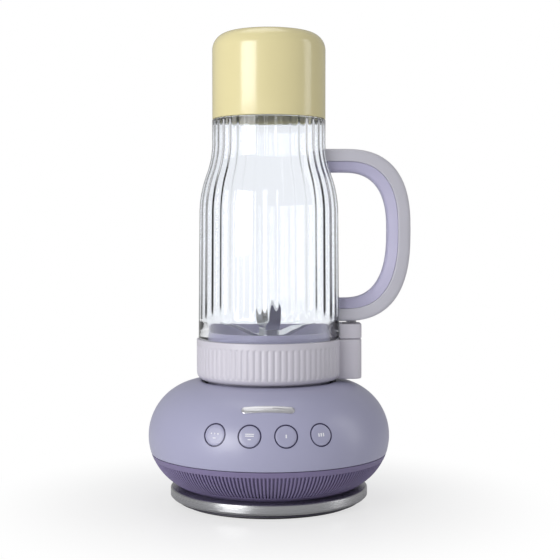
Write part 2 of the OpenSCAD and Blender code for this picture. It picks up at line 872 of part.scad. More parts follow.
module blade_bearings() {
    color("#c3c6ca") for (z = [low_bearing_z, high_bearing_z])
        tube(bearing_r - running, shaft_r + running, z, z + bearing_h);
}

module blade_shaft() {
    color("#c3c6ca") union() {
        disc(shaft_r, shaft_low, nut_z + nut_h - 1);
        tube(shaft_r + 2, shaft_r - 1, hub_top + gap, blade_z);
    }
}

// Points of a bent strip's outline seen from its side, from the right tip over the top to the left tip
function strip(reach, flat, z, t, bends) = let (a = bends[0], b = bends[1], run = reach + 2 - flat) [
    [flat, z], [flat + run, z + run * tan(a)], [flat + run - t * sin(a), z + run * tan(a) + t * cos(a)],
    [flat - t * tan(a / 2), z + t], [-flat + t * tan(b / 2), z + t],
    [-flat - run + t * sin(b), z + run * tan(b) + t * cos(b)], [-flat - run, z + run * tan(b)], [-flat, z]];

// Two swept wings on a flat middle, each bent up by its own angle
module blade_pair(z, reach, width, bends, turn) {
    w = width / 2;
    r = reach;
    difference() {
        rotate([0, 0, turn]) intersection() {
            rotate([90, 0, 0]) linear_extrude(2 * width, center = true)
                polygon(strip(r, 8.5, z, blade_t, bends));
            translate([0, 0, z - 5]) linear_extrude(80) polygon([
                [-w, -w], [r * 0.55, -w], [r, -w * 0.2], [r * 0.9, w * 0.64], [r * 0.5, w],
                [w, w], [-r * 0.55, w], [-r, w * 0.2], [-r * 0.9, -w * 0.64], [-r * 0.5, -w]
            ]);
        }
        disc(shaft_r, z - 8, z + 8);
    }
}

module lower_blade() {
    color("#d3d6da") blade_pair(lower_blade_z, blade_r, 11, [16, 22], 20);
}

module upper_blade() {
    color("#d3d6da") blade_pair(upper_blade_z, blade_r - 10, 9, [48, 56], 105);
}

module blade_spacer() {
    color("#aeb1b6") tube(shaft_r + 2.6, shaft_r, lower_blade_z + blade_t, upper_blade_z);
}

module blade_nut() {
    color("#c3c6ca") difference() {
        union() {
            translate([0, 0, nut_z]) cylinder(r = nut_r, h = nut_h, $fn = 6);
            translate([0, 0, nut_z + nut_h - 2]) cylinder(r1 = nut_r * 0.84, r2 = 2.4, h = 4.4);
        }
        disc(shaft_r, nut_z - 1, nut_z + nut_h - 1);
    }
}

module blade_coupling() {
    color("#2b2a30") difference() {
        union() {
            disc(coupling_r, coupling_z, coupling_z + coupler_h);
            disc(8, coupling_z + coupler_h - embed, coupling_z + coupling_h);
        }
        spline(coupler_core_r, coupler_r, coupler_tooth, spline_gap, coupling_z - 1, coupler_z + coupler_h + gap);
        disc(shaft_r, shaft_low, coupling_z + coupling_h + 1);
    }
}

module mouth_gasket() {
    color("#e9e6ef") tube(ring_bore_r - 1.2, collar_r + 0.8, deck_z + deck_t - 0.4, mouth_z - 0.1);
}

// ---------- tumbler ----------

// Points of the shoulder from the narrow end down to the wide end, with the wall drawn in by inset
function shoulder(inset) = let (r1 = shoulder_concave + inset, r2 = shoulder_convex - inset,
        x1 = neck_r + shoulder_concave, z1 = shoulder_low + shoulder_len,
        x2 = cup_r - 0.7 - shoulder_convex, z2 = shoulder_low, n = 8) concat(
    [for (i = [0 : n]) let (a = shoulder_angle * i / n) [x1 - r1 * cos(a), z1 - r1 * sin(a)]],
    [for (i = [n - 1 : -1 : 0]) let (a = shoulder_angle * i / n) [x2 + r2 * cos(a), z2 + r2 * sin(a)]]);

function corner(x, z, r, from, to, n) =
    [for (i = [0 : n]) let (a = from + (to - from) * i / n) [x + r * cos(a), z + r * sin(a)]];

module tumbler_cup() {
    inner_end = cup_end - cup_floor_t;
    inner_corner = max(foot_cup_corner - cup_wall, 2);
    color([0.86, 0.9, 0.95, 0.35]) union() {
        rotate_extrude() polygon(concat(
            [[0, cup_end]],
            corner(foot_cup_r - foot_cup_corner, cup_end - foot_cup_corner, foot_cup_corner, 90, 0, 8),
            [[foot_cup_r, boot_low - gap], [neck_r, boot_low - gap]],
            shoulder(0),
            [[cup_r, ring_top + gap], [mouth_r, ring_top + gap], [mouth_r, mouth_z],
             [mouth_r - cup_wall, mouth_z], [mouth_r - cup_wall, collar_top + 3],
             [cup_r - 0.2 - cup_wall, collar_top + 6]],
            reversed(shoulder(cup_wall)),
            [[neck_r - cup_wall, boot_low + 2], [foot_cup_r - cup_wall, boot_low + 5]],
            corner(foot_cup_r - cup_wall - inner_corner, inner_end - inner_corner, inner_corner, 0, 90, 6),
            [[0, inner_end]]));
        thread_segments(mouth_r - 0.5, mouth_r + thread_h, thread_z, 0, 8);
        for (z = [low_arm_z, high_arm_z]) difference() {
            tenon(z, 0);
            screw_path(z, 0.05);
        }
    }
}

function reversed(list) = [for (i = [len(list) - 1 : -1 : 0]) list[i]];

// Tongue on the cup that a handle arm is screwed to
module tenon(z, grow) {
    r = z > (ring_top + boot_low) / 2 ? neck_r : cup_r;
    translate([r - 1, -tenon_w / 2 - grow, z - tenon_h / 2 - grow])
        cube([tenon_reach + 1 + grow, tenon_w + 2 * grow, tenon_h + 2 * grow]);
}

// Outline of the handle, from the top arm's root round to the low arm's root, drawn in by inset
function handle_line(inset) = let (n = 20, x0 = handle_root_x - 1,
        a = handle_reach - x0 - inset, up = handle_top - handle_mid - inset,
        down = handle_mid - handle_low - inset, p = 2 / handle_power) concat(
    [for (i = [n : -1 : 0]) let (t = 90 * i / n) [x0 + a * pow(cos(t), p), handle_mid + up * pow(sin(t), p)]],
    [for (i = [1 : n]) let (t = 90 * i / n) [x0 + a * pow(cos(t), p), handle_mid - down * pow(sin(t), p)]]);

// A band between two insets, run back to the tumbler at both ends and clear of its wall
module handle_band(from, to, depth) {
    line_a = handle_line(from);
    line_b = handle_line(to);
    last = len(line_a) - 1;
    root_x = neck_r - 6;
    rotate([90, 0, 0]) linear_extrude(depth, center = true) polygon(concat(
        [[root_x, line_a[0].y]], line_a, [[root_x, line_a[last].y], [root_x, line_b[last].y]],
        reversed(line_b), [[root_x, line_b[0].y]]));
}

module cup_clearance() {
    rotate_extrude() polygon(concat(
        [[0, boot_low + 20], [neck_r + foot_gap, boot_low + 20]],
        [for (p = shoulder(-foot_gap)) p],
        [[cup_r + foot_gap, ring_top], [0, ring_top]]));
}

module handle_shell() {
    color("#bdbacb") difference() {
        handle_band(0, handle_t - grip_t, handle_w);
        cup_clearance();
        for (z = [low_arm_z, high_arm_z]) {
            tenon(z, 0.15);
            screw_path(z, 0.05);
        }
        translate([stem_x, 0, 0]) {
            disc(stem_r + 0.15, handle_low - 2, stem_top + slider_travel + 0.5);
            disc(spring_r + spring_wire + 0.2, handle_low - 2, spring_high);
        }
    }
}

module handle_grip() {
    color("#aaa5d0") difference() {
        handle_band(handle_t - grip_t, handle_t, grip_w);
        cup_clearance();
        for (z = [low_arm_z, high_arm_z]) {
            tenon(z, 0.15);
            screw_path(z, 0.05);
        }
    }
}

function screw_x(z) = (z > (ring_top + boot_low) / 2 ? neck_r : cup_r) + tenon_reach - 4;

module screw_path(z, grow) {
    translate([screw_x(z), 0, z]) rotate([90, 0, 0]) {
        translate([0, 0, -handle_w / 2 - 1]) cylinder(r = screw_r + grow, h = handle_w - 2);
        translate([0, 0, -handle_w / 2 - 1]) cylinder(r = head_r + grow, h = 3);
    }
}

module handle_screws() {
    color("#b9bbbf") for (z = [low_arm_z, high_arm_z]) translate([screw_x(z), 0, z]) rotate([90, 0, 0]) union() {
        translate([0, 0, -handle_w / 2 + 0.4]) cylinder(r = screw_r, h = handle_w - 4);
        translate([0, 0, -handle_w / 2 + 0.4]) cylinder(r = head_r, h = 1.6);
    }
}

module slider_spring() {
    sides = 6;
    per_turn = 16;
    steps = spring_turns * per_turn;
    rise = (spring_high - spring_low - 2 * spring_wire) / steps;
    centre = spring_r;
    points = [for (i = [0 : steps]) let (a = 360 * i / per_turn, z = spring_low + spring_wire + rise * i)
        for (k = [0 : sides - 1]) let (b = 360 * k / sides, r = centre + spring_wire * cos(b))
            [r * cos(a), r * sin(a), z + spring_wire * sin(b)]];
    walls = [for (i = [0 : steps - 1]) for (k = [0 : sides - 1]) let (m = (k + 1) % sides)
        [i * sides + k, i * sides + m, (i + 1) * sides + m, (i + 1) * sides + k]];
    color("#c3c6ca") translate([stem_x, 0, 0]) polyhedron(points = points, faces = concat(
        [[for (k = [sides - 1 : -1 : 0]) k]], walls, [[for (k = [0 : sides - 1]) steps * sides + k]]));
}

module lock_slider() {
    color("#c9c6d2") union() {
        difference() {
            translate([0, 0, block_z]) linear_extrude(block_h) union() {
                block_plan();
                translate([block_in, -block_w / 2]) square([4, block_w]);
            }
            disc(block_in, block_z - 1, block_z + block_h + 1);
        }
        translate([stem_x, 0, 0]) disc(stem_r, block_z + 2, stem_top);
    }
}

module foot_boot() {
    inner_corner = boot_corner - boot_wall;
    color("#e9dd9a") rotate_extrude() polygon(concat(
        [[0, cup_top]],
        corner(boot_r - boot_corner, cup_top - boot_corner, boot_corner, 90, 0, 12),
        [[boot_r, boot_low], [boot_r - boot_wall, boot_low]],
        corner(boot_r - boot_wall - inner_corner, cup_top - boot_wall - inner_corner, inner_corner, 0, 90, 10),
        [[0, cup_top - boot_wall]]));
}

// ---------- the assembly ----------

upper_housing();
vent_skirt();
base_disc();
bottom_cover();
foot_ring();
cover_screws();
housing_screws();
well_liner();
liner_screws();
seat_ring();
front_badge();
button_bezels();
control_board();
tact_switches();
power_board();
power_components();
interlock_switch();
cord_gland();
fan_shroud();
motor_upper_frame();
motor_lower_frame();
stator_core();
stator_coils();
brush_holders();
carbon_brushes();
motor_bearings();
motor_screws();
motor_isolators();
motor_shaft();
rotor_core();
rotor_windings();
commutator();
cooling_fan();
drive_coupler();
button(0);  // extract_button
button(1);  // smoothie_button
button(2);  // low_button
button(3);  // high_button
interlock_pin();
blade_bearings();
grip_ring();
blade_deck();
shaft_seal();
blade_shaft();
lower_blade();
upper_blade();
blade_spacer();
blade_nut();
blade_coupling();
mouth_gasket();
tumbler_cup();
handle_shell();
handle_grip();
handle_screws();
slider_spring();
lock_slider();
foot_boot();
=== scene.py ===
import json
import math

import bmesh
import bpy
from mathutils import Matrix, Vector


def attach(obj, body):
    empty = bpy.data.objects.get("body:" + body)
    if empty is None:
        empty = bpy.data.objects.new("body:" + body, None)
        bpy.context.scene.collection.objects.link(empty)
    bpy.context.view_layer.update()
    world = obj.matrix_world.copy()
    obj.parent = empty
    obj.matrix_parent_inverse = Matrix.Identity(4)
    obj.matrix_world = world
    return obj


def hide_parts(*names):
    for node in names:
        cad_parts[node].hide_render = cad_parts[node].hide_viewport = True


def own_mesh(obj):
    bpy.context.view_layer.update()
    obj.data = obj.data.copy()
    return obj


bl_info = {
    "name": "Countertop blender",
    "version": (1, 0, 0),
    "blender": (4, 5, 0),
    "location": "View3D > Sidebar > Blender",
    "description": "Builds a tumbler blender: motor base, grip ring with blades, clear cup, handle and boot",
    "category": "Object",
}

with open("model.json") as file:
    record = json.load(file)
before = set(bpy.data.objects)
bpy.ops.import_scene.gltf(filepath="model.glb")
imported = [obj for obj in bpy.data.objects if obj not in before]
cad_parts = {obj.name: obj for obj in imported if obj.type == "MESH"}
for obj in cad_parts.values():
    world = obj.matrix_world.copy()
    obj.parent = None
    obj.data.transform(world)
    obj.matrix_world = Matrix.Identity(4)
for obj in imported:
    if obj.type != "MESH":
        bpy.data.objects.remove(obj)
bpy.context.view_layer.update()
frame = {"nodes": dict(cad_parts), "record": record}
MM = 0.001
TAU = 2 * math.pi

# places that several pieces share, in millimetres
HOUSING_MOUTH = 43.7
DISC_BORE = 50.3
RING_BORE = 44.7
CUP_MOUTH = 43.3
CUP_MOUTH_LOW = 87.8
SLIDER_STEM_X = 53.55
THREAD_LEAD = 12.0
THREAD_STEP = math.radians(30)
THREAD_RISE = THREAD_LEAD * THREAD_STEP / TAU


# ---------- sizes and colours ----------

def colour(code):
    """A colour written as RRGGBB, in scene-linear values."""
    parts = [int(code[i:i + 2], 16) / 255 for i in (0, 2, 4)]
    return tuple(c / 12.92 if c < 0.04045 else ((c + 0.055) / 1.055) ** 2.4 for c in parts)


def length(name, text, default):
    return bpy.props.FloatProperty(name=name, description=text, default=default * MM, min=0.0,
                                   subtype="DISTANCE", unit="LENGTH", precision=5)


def tint(name, text, code):
    return bpy.props.FloatVectorProperty(name=name, description=text, default=colour(code), size=3,
                                         min=0.0, max=1.0, subtype="COLOR")


class BaseSizes(bpy.types.PropertyGroup):
    """Sizes of the motor base."""
    width: length("Width", "Diameter of the base at its widest", 156.4)
    top: length("Top", "Height of the crown above the table", 78.6)
    low: length("Low", "Height at which the round section would close", 8.2)
    seam: length("Seam", "Height of the seam over the vent skirt", 32.2)
    wall: length("Wall", "Wall of the housing", 2.6)
    disc_top: length("Disc top", "Height of the base disc's top face", 10.2)
    disc_low: length("Disc underside", "Height of the base disc's underside", 3.4)
    slats: bpy.props.IntProperty(name="Slats", description="Slats round the vent skirt", default=196, min=24)
    slat_width: length("Slat width", "Width of one slat", 1.25)
    button: length("Button radius", "Radius of a button cap", 6.4)
    bezel: length("Bezel width", "Width of the dark line round a button", 0.75)
    button_height: length("Button height", "Height of the button centres", 53.9)
    button_step: bpy.props.FloatProperty(name="Button step", description="Angle between buttons",
                                         default=math.radians(16.35), subtype="ANGLE", unit="ROTATION")


class CupSizes(bpy.types.PropertyGroup):
    """Sizes of the grip ring, cup, boot and handle."""
    ring_low: length("Ring underside", "Height of the grip ring's underside", 79.2)
    ring_top: length("Ring top", "Height of the grip ring's top", 105.8)
    ring_radius: length("Ring radius", "Outer radius of the grip ring", 46.9)
    flutes: bpy.props.IntProperty(name="Ring flutes", description="Flutes round the grip ring",
                                  default=72, min=12)
    flute_depth: length("Flute depth", "Depth of the grip ring's flutes", 0.55)
    cup_radius: length("Cup radius", "Outer radius of the cup over the ring", 45.7)
    neck_radius: length("Neck radius", "Outer radius of the cup's narrow end", 36.7)
    cup_wall: length("Cup wall", "Wall of the cup", 2.6)
    waves: bpy.props.IntProperty(name="Cup ribs", description="Upright ribs inside the cup",
                                 default=36, min=6)
    wave_depth: length("Rib depth", "Depth of the ribs inside the cup", 0.75)
    boot_low: length("Boot edge", "Height of the boot's lower edge", 247.4)
    boot_top: length("Boot top", "Height of the boot's top", 302.8)
    handle_reach: length("Handle reach", "Reach of the handle from the drive axis", 91.2)
    handle_low: length("Handle low", "Height of the lower arm's underside", 117.4)
    handle_top: length("Handle top", "Height of the upper arm's top", 228.1)
    handle_depth: length("Handle depth", "Depth of the handle across its plane", 21.0)


class Tints(bpy.types.PropertyGroup):
    """Colours of the plastics."""
    housing: tint("Housing", "Upper housing and buttons", "a5a5c0")
    skirt: tint("Skirt", "Vent skirt", "7b7196")
    ring: tint("Ring", "Grip ring and slider", "cdcad4")
    shell: tint("Handle shell", "Outer part of the handle", "bebdc7")
    grip: tint("Handle grip", "Inner part of the handle", "b2afca")
    boot: tint("Boot", "Boot on the cup's narrow end", "e2d7a4")
    outline: tint("Outline", "Dark line round the buttons", "353154")
    cup: tint("Cup", "Clear cup", "f7f9fc")


# ---------- shader and geometry maths ----------

class Value:
    """A node socket that can be used in Python expressions."""

    def __init__(self, tree, socket):
        self.tree, self.socket = tree, socket

    def math(self, operation, *others):
        node = self.tree.nodes.new("ShaderNodeMath")
        node.operation = operation
        for slot, item in zip(node.inputs, (self, *others)):
            connect(self.tree, slot, item)
        return Value(self.tree, node.outputs[0])

    def back(self, operation, other):
        node = self.tree.nodes.new("ShaderNodeMath")
        node.operation = operation
        connect(self.tree, node.inputs[0], other)
        connect(self.tree, node.inputs[1], self)
        return Value(self.tree, node.outputs[0])

    def __add__(self, other):
        return self.math("ADD", other)

    def __sub__(self, other):
        return self.math("SUBTRACT", other)

    def __mul__(self, other):
        return self.math("MULTIPLY", other)

    def __truediv__(self, other):
        return self.math("DIVIDE", other)

    def __pow__(self, other):
        return self.math("POWER", other)

    def __rsub__(self, other):
        return self.back("SUBTRACT", other)

    __radd__, __rmul__ = __add__, __mul__


def connect(tree, slot, item):
    if isinstance(item, Value):
        tree.links.new(item.socket, slot)
    elif isinstance(item, bpy.types.NodeSocket):
        tree.links.new(item, slot)
    else:
        slot.default_value = item


def add_node(tree, kind, settings=None, inputs=None):
    """A node with its settings made first and its inputs set or linked after."""
    node = tree.nodes.new(kind)
    for key, item in (settings or {}).items():
        setattr(node, key, item)
    for key, item in (inputs or {}).items():
        connect(tree, node.inputs[key], item)
    return node


class Finish:
    """A procedural material on Object coordinates."""

    def __init__(self, name, base, roughness, **fixed):
        self.material = bpy.data.materials.new(name)
        self.material.use_nodes = True
        self.tree = self.material.node_tree
        self.tree.nodes.clear()
        self.shader = self.node("ShaderNodeBsdfPrincipled")
        self.set("Base Color", (*base[:3], 1.0))
        self.set("Roughness", roughness)
        for key, item in fixed.items():
            self.set(key.replace("_", " ").title().replace("Ior", "IOR"), item)
        out = self.node("ShaderNodeOutputMaterial", None, {"Surface": self.shader.outputs[0]})
        self.output = out
        place = self.node("ShaderNodeTexCoord").outputs["Object"]
        self.place = place
        parts = self.node("ShaderNodeSeparateXYZ", None, {0: place})
        self.x, self.y, self.z = (Value(self.tree, parts.outputs[i]) for i in range(3))
        self.material.diffuse_color = (*base[:3], 1.0)

    def node(self, kind, settings=None, inputs=None):
        return add_node(self.tree, kind, settings, inputs)

    def set(self, socket, item):
        connect(self.tree, self.shader.inputs[socket], item)

    def radius(self):
        return (self.x * self.x + self.y * self.y) ** 0.5

    def noise(self, scale, detail=2.0, place=None):
        made = self.node("ShaderNodeTexNoise", None, {"Scale": scale, "Detail": detail,
                                                      "Vector": self.place if place is None else place})
        return Value(self.tree, made.outputs[0])

    def vector(self, x, y, z):
        return self.node("ShaderNodeCombineXYZ", None, {0: x, 1: y, 2: z}).outputs[0]

    def mix(self, mask, low, high):
        made = self.node("ShaderNodeMix", {"data_type": "RGBA"}, {0: mask})
        made.inputs[6].default_value = (*low[:3], 1.0)
        made.inputs[7].default_value = (*high[:3], 1.0)
        return made.outputs[2]

    def bump(self, height, distance, strength=1.0):
        made = self.node("ShaderNodeBump", None, {
            "Height": height, "Distance": distance, "Strength": strength})
        self.set("Normal", made.outputs[0])


def shade(base, amount):
    return tuple(min(1.0, c * amount) for c in base[:3])


def moulded(name, base, roughness, grain=0.00002, size=1500.0, drift=0.05, **fixed):
    """Moulded plastic or rubber: a fine grain, slight drift of colour and handling marks in its gloss."""
    f = Finish(name, base, roughness, **fixed)
    broad = f.noise(22.0, 3.0)
    f.set("Base Color", f.mix(broad, shade(base, 1 - drift), shade(base, 1 + drift)))
    smears = f.noise(70.0, 4.0)
    f.set("Roughness", roughness + (smears - 0.5) * (0.25 * roughness))
    f.bump(f.noise(size, 2.0), grain)
    return f.material


def turned(name, base, roughness, metallic=1.0):
    """Metal with fine turning lines round the drive axis."""
    f = Finish(name, base, roughness, metallic=metallic)
    r = f.radius()
    lines = f.noise(1.0, 4.0, f.vector(r * 5200.0, f.z * 5200.0, (f.x + f.y) * 18.0))
    broad = f.noise(1.0, 2.0, f.vector(r * 700.0, f.z * 700.0, f.x * 9.0))
    f.set("Base Color", f.mix(lines * 0.6 + broad * 0.4, shade(base, 0.84), shade(base, 1.1)))
    f.set("Roughness", roughness + (lines - 0.5) * 0.16)
    f.bump(lines, 0.00003)
    return f.material


def ground(name, base, roughness, metallic=1.0, scale=260.0):
    """Plain worked metal with a faint uneven sheen."""
    f = Finish(name, base, roughness, metallic=metallic)
    cloud = f.noise(scale, 4.0)
    f.set("Base Color", f.mix(cloud, shade(base, 0.9), shade(base, 1.06)))
    f.set("Roughness", roughness + (cloud - 0.5) * 0.14)
    f.bump(f.noise(scale * 9, 2.0), 0.00001)
    return f.material


def wound(name, base):
    """Enamelled wire laid side by side, with painted shade in the grooves between the turns."""
    f = Finish(name, base, 0.3, metallic=0.7)
    turns = ((f.z * 9000.0).math("SINE") + 1.0) * 0.5
    # painted shade: the copper colour darkens towards each turn's edges, where the grooves between round
    # wires fall in shade
    f.set("Base Color", f.mix(turns, shade(base, 0.45), base))
    f.bump(turns, 0.0002)
    return f.material


def laminated(name, base):
    """Stacked steel sheets, seen from the side as fine level lines."""
    f = Finish(name, base, 0.42, metallic=0.9)
    sheets = ((f.z * 12500.0).math("SINE") + 1.0) * 0.5
    f.set("Base Color", f.mix(sheets, shade(base, 0.5), base))
    f.bump(sheets, 0.0001)
    return f.material


def circuit(name, base):
    """Circuit board: solder mask over copper runs."""
    f = Finish(name, base, 0.35)
    runs = f.node("ShaderNodeTexBrick", {"offset": 0.5}, {
        "Vector": f.place, "Scale": 260.0, "Mortar Size": 0.08})
    mask = Value(f.tree, runs.outputs["Fac"])
    f.set("Base Color", f.mix(mask, base, shade(base, 1.9)))
    f.bump(mask, 0.00004)
    return f.material


def clear(name, base):
    """Clear moulded plastic with the faintest waviness."""
    f = Finish(name, base, 0.02, transmission_weight=1.0, ior=1.45)
    f.set("Roughness", 0.015 + f.noise(40.0, 3.0) * 0.03)
    f.bump(f.noise(60.0, 1.0), 0.00006)
    return f.material


FINISH = {}


def make_finishes(tints):
    FINISH.update({
        "housing": moulded("Lavender housing", tints.housing, 0.34, coat_weight=0.15, coat_roughness=0.25),
        "skirt": moulded("Violet skirt", tints.skirt, 0.5),
        "disc": turned("Brushed disc", (0.5, 0.505, 0.515), 0.28),
        "dark_plastic": moulded("Dark plastic", (0.052, 0.048, 0.068), 0.5),
        "rubber": moulded("Black rubber", (0.022, 0.022, 0.026), 0.75, grain=0.00005),
        "steel": ground("Plain steel", (0.56, 0.57, 0.58), 0.3),
        "badge": ground("Satin badge", (0.7, 0.7, 0.73), 0.34),
        "outline": moulded("Indigo outline", tints.outline, 0.35),
        "board": circuit("Circuit board", (0.015, 0.12, 0.05)),
        "parts": moulded("Dark parts", (0.03, 0.03, 0.036), 0.45),
        "frame": ground("Cast frame", (0.42, 0.43, 0.45), 0.45, scale=120.0),
        "core": laminated("Laminated core", (0.3, 0.31, 0.33)),
        "copper": wound("Copper windings", (0.55, 0.2, 0.07)),
        "carbon": moulded("Pressed carbon", (0.012, 0.012, 0.013), 0.6),
        "fan": moulded("White nylon", (0.66, 0.66, 0.68), 0.5),
        "ring": moulded("Grey lavender ring", tints.ring, 0.36, coat_weight=0.1, coat_roughness=0.3),
        "deck": moulded("Lavender deck", shade(tints.grip, 1.05), 0.35),
        "seal": moulded("Silicone", (0.72, 0.7, 0.76), 0.45, subsurface_weight=0.2, subsurface_scale=0.002),
        "blade": ground("Ground blade steel", (0.66, 0.67, 0.69), 0.22),
        "cup": clear("Clear cup", tints.cup),
        "shell": moulded("Handle shell", tints.shell, 0.34, coat_weight=0.1, coat_roughness=0.3),
        "grip": moulded("Soft grip", tints.grip, 0.48, grain=0.00004),
        "boot": moulded("Yellow boot", tints.boot, 0.2, drift=0.025, coat_weight=0.3, coat_roughness=0.12),
        "mark": moulded("White print", (0.82, 0.82, 0.86), 0.5),
    })


SLOT_OF = {part["node"]: part["material_slot"] for part in frame["record"]["subparts"]}


# ---------- mesh helpers, in millimetres ----------

def new_piece(name, mesh, body, slot, nodes=(), finish=None):
    """Links a mesh as a finished piece that rides on a body and stands for CAD nodes."""
    obj = bpy.data.objects.new(name, mesh)
    bpy.context.scene.collection.objects.link(obj)
    mesh.materials.clear()
    mesh.materials.append(FINISH[finish or slot])
    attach(obj, body)
    if nodes:
        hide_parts(*nodes)
    return obj


def finish_mesh(bm, name, angle=32.0, scale=MM, merge=0.0005, outward=True):
    bmesh.ops.remove_doubles(bm, verts=bm.verts, dist=merge)
    if outward:
        bmesh.ops.recalc_face_normals(bm, faces=bm.faces)
    bmesh.ops.transform(bm, matrix=Matrix.Scale(scale, 4), verts=bm.verts)
    mesh = bpy.data.meshes.new(name)
    bm.to_mesh(mesh)
    bm.free()
    smooth(mesh, angle)
    return mesh


def smooth(mesh, angle=32.0):
    mesh.polygons.foreach_set("use_smooth", [True] * len(mesh.polygons))
    mesh.set_sharp_from_angle(angle=math.radians(angle))
    mesh.update()


def arc(x, z, r, start, end, n):
    """Points of an arc, from start to end in degrees."""
    return [(x + r * math.cos(math.radians(start + (end - start) * i / n)),
             z + r * math.sin(math.radians(start + (end - start) * i / n))) for i in range(n + 1)]


def soften(points, r=0.5, n=4, least=18.0):
    """Rounds the corners of a closed outline that turn by more than a few degrees."""
    out = []
    for i, point in enumerate(points):
        p, a, b = Vector(point), Vector(points[i - 1]), Vector(points[(i + 1) % len(points)])
        u, v = a - p, b - p
        if u.length < 1e-6 or v.length < 1e-6:
            continue
        turn = math.pi - u.angle(v)
        if turn < math.radians(least) or p.x < 1e-6:
            out.append(tuple(p))
            continue
        size = min(r * math.tan(turn / 2), 0.45 * u.length, 0.45 * v.length)
        s, e = p + u.normalized() * size, p + v.normalized() * size
        for k in range(n + 1):
            t = k / n
            out.append(tuple(s * (1 - t) ** 2 + p * (2 * t * (1 - t)) + e * t * t))
    return out


def spun(bm, points, steps=192, closed=True):
    """Turns an outline of (radius, height) round the drive axis; radius 0 becomes a pole."""
    rings = []
    for r, z in points:
        if r < 1e-5:
            rings.append([bm.verts.new((0, 0, z))])
        else:
            rings.append([bm.verts.new((r * math.cos(TAU * i / steps), r * math.sin(TAU * i / steps), z))
                          for i in range(steps)])
    pairs = list(zip(rings, rings[1:])) + ([(rings[-1], rings[0])] if closed else [])
    for a, b in pairs:
        if len(a) == 1 and len(b) == 1:
            continue
        for i in range(steps):
            j = (i + 1) % steps
            if len(a) == 1:
                bm.faces.new((a[0], b[i], b[j]))
            elif len(b) == 1:
                bm.faces.new((a[i], b[0], a[j]))
            else:
                bm.faces.new((a[i], b[i], b[j], a[j]))
    return rings


def lathe(name, points, body, slot, nodes=(), steps=192, r=0.5, closed=True):
    bm = bmesh.new()
    spun(bm, soften(points, r) if r else points, steps, closed)
    return new_piece(name, finish_mesh(bm, name), body, slot, nodes)


def loops(bm, rings, caps=True):
    """Joins rings of points that all have the same count, and closes the two ends with fans."""
    made = [[bm.verts.new(p) for p in ring] for ring in rings]
    n = len(made[0])
    for a, b in zip(made, made[1:]):
        for i in range(n):
            j = (i + 1) % n
            bm.faces.new((a[i], a[j], b[j], b[i]))
    if caps:
        for ring in (made[0], made[-1]):
            middle = bm.verts.new(sum((v.co for v in ring), Vector()) / n)
            for i in range(n):
                bm.faces.new((ring[i], ring[(i + 1) % n], middle))
    return made


def box_outline(w, h, r, n=6, x=0.0, y=0.0):
    """A rectangle with round corners, centred at x, y."""
    r = min(r, w / 2 - 1e-3, h / 2 - 1e-3)
    out = []
    for cx, cy, a in ((1, 1, 0), (-1, 1, 90), (-1, -1, 180), (1, -1, 270)):
        out += arc(x + cx * (w / 2 - r), y + cy * (h / 2 - r), r, a, a + 90, n)
    return out


def baked(obj):
    """The mesh of an object with its modifiers applied; the object goes away."""
    bpy.context.view_layer.update()
    graph = bpy.context.evaluated_depsgraph_get()
    mesh = bpy.data.meshes.new_from_object(obj.evaluated_get(graph))
    obj.modifiers.clear()
    bpy.data.objects.remove(obj)
    return mesh


def scratch(name, mesh):
    obj = bpy.data.objects.new(name, mesh)
    bpy.context.scene.collection.objects.link(obj)
    return obj


def refined(node, angle=30.0):
    """A merged, smooth-shaded copy of a CAD node that takes its place."""
    mesh = frame["nodes"][node].data.copy()
    bm = bmesh.new()
    bm.from_mesh(mesh)
    bmesh.ops.remove_doubles(bm, verts=bm.verts, dist=2e-6)
    bm.to_mesh(mesh)
    bm.free()
    smooth(mesh, angle)
    body = next(b for b, nodes in frame["record"]["behaviour"]["bodies"].items() if node in nodes)
    return new_piece(node + "_piece", mesh, body, SLOT_OF[node], (node,))


# ---------- geometry node trees ----------

def tree_with(name, sockets):
    """An empty geometry tree with named inputs, and its group nodes."""
    tree = bpy.data.node_groups.new(name, "GeometryNodeTree")
    tree.interface.new_socket("Geometry", in_out="INPUT", socket_type="NodeSocketGeometry")
    for label, kind in sockets:
        tree.interface.new_socket(label, in_out="INPUT", socket_type=kind)
    tree.interface.new_socket("Geometry", in_out="OUTPUT", socket_type="NodeSocketGeometry")
    return tree, tree.nodes.new("NodeGroupInput"), tree.nodes.new("NodeGroupOutput")


def copies_tree():
    """Copies of the piece turned round the drive axis, each raised by a step, as round a ring or a thread."""
    tree, given, out = tree_with("Copies round the axis", (
        ("Count", "NodeSocketInt"), ("Step", "NodeSocketFloat"), ("Start", "NodeSocketFloat"),
        ("Rise", "NodeSocketFloat"), ("Finish", "NodeSocketMaterial")))
    points = add_node(tree, "GeometryNodePoints", None, {"Count": given.outputs["Count"]})
    index = Value(tree, tree.nodes.new("GeometryNodeInputIndex").outputs[0])
    place = add_node(tree, "ShaderNodeCombineXYZ", None, {2: index * Value(tree, given.outputs["Rise"])})
    connect(tree, points.inputs["Position"], place.outputs[0])
    turn = index * Value(tree, given.outputs["Step"]) + Value(tree, given.outputs["Start"])
    spin = add_node(tree, "ShaderNodeCombineXYZ", None, {2: turn})
    placed = add_node(tree, "GeometryNodeInstanceOnPoints", None, {
        "Points": points.outputs[0], "Instance": given.outputs["Geometry"], "Rotation": spin.outputs[0]})
    real = add_node(tree, "GeometryNodeRealizeInstances", None, {0: placed.outputs[0]})
    done = add_node(tree, "GeometryNodeSetMaterial", None, {
        "Geometry": real.outputs[0], "Material": given.outputs["Finish"]})
    tree.links.new(done.outputs[0], out.inputs[0])
    return tree


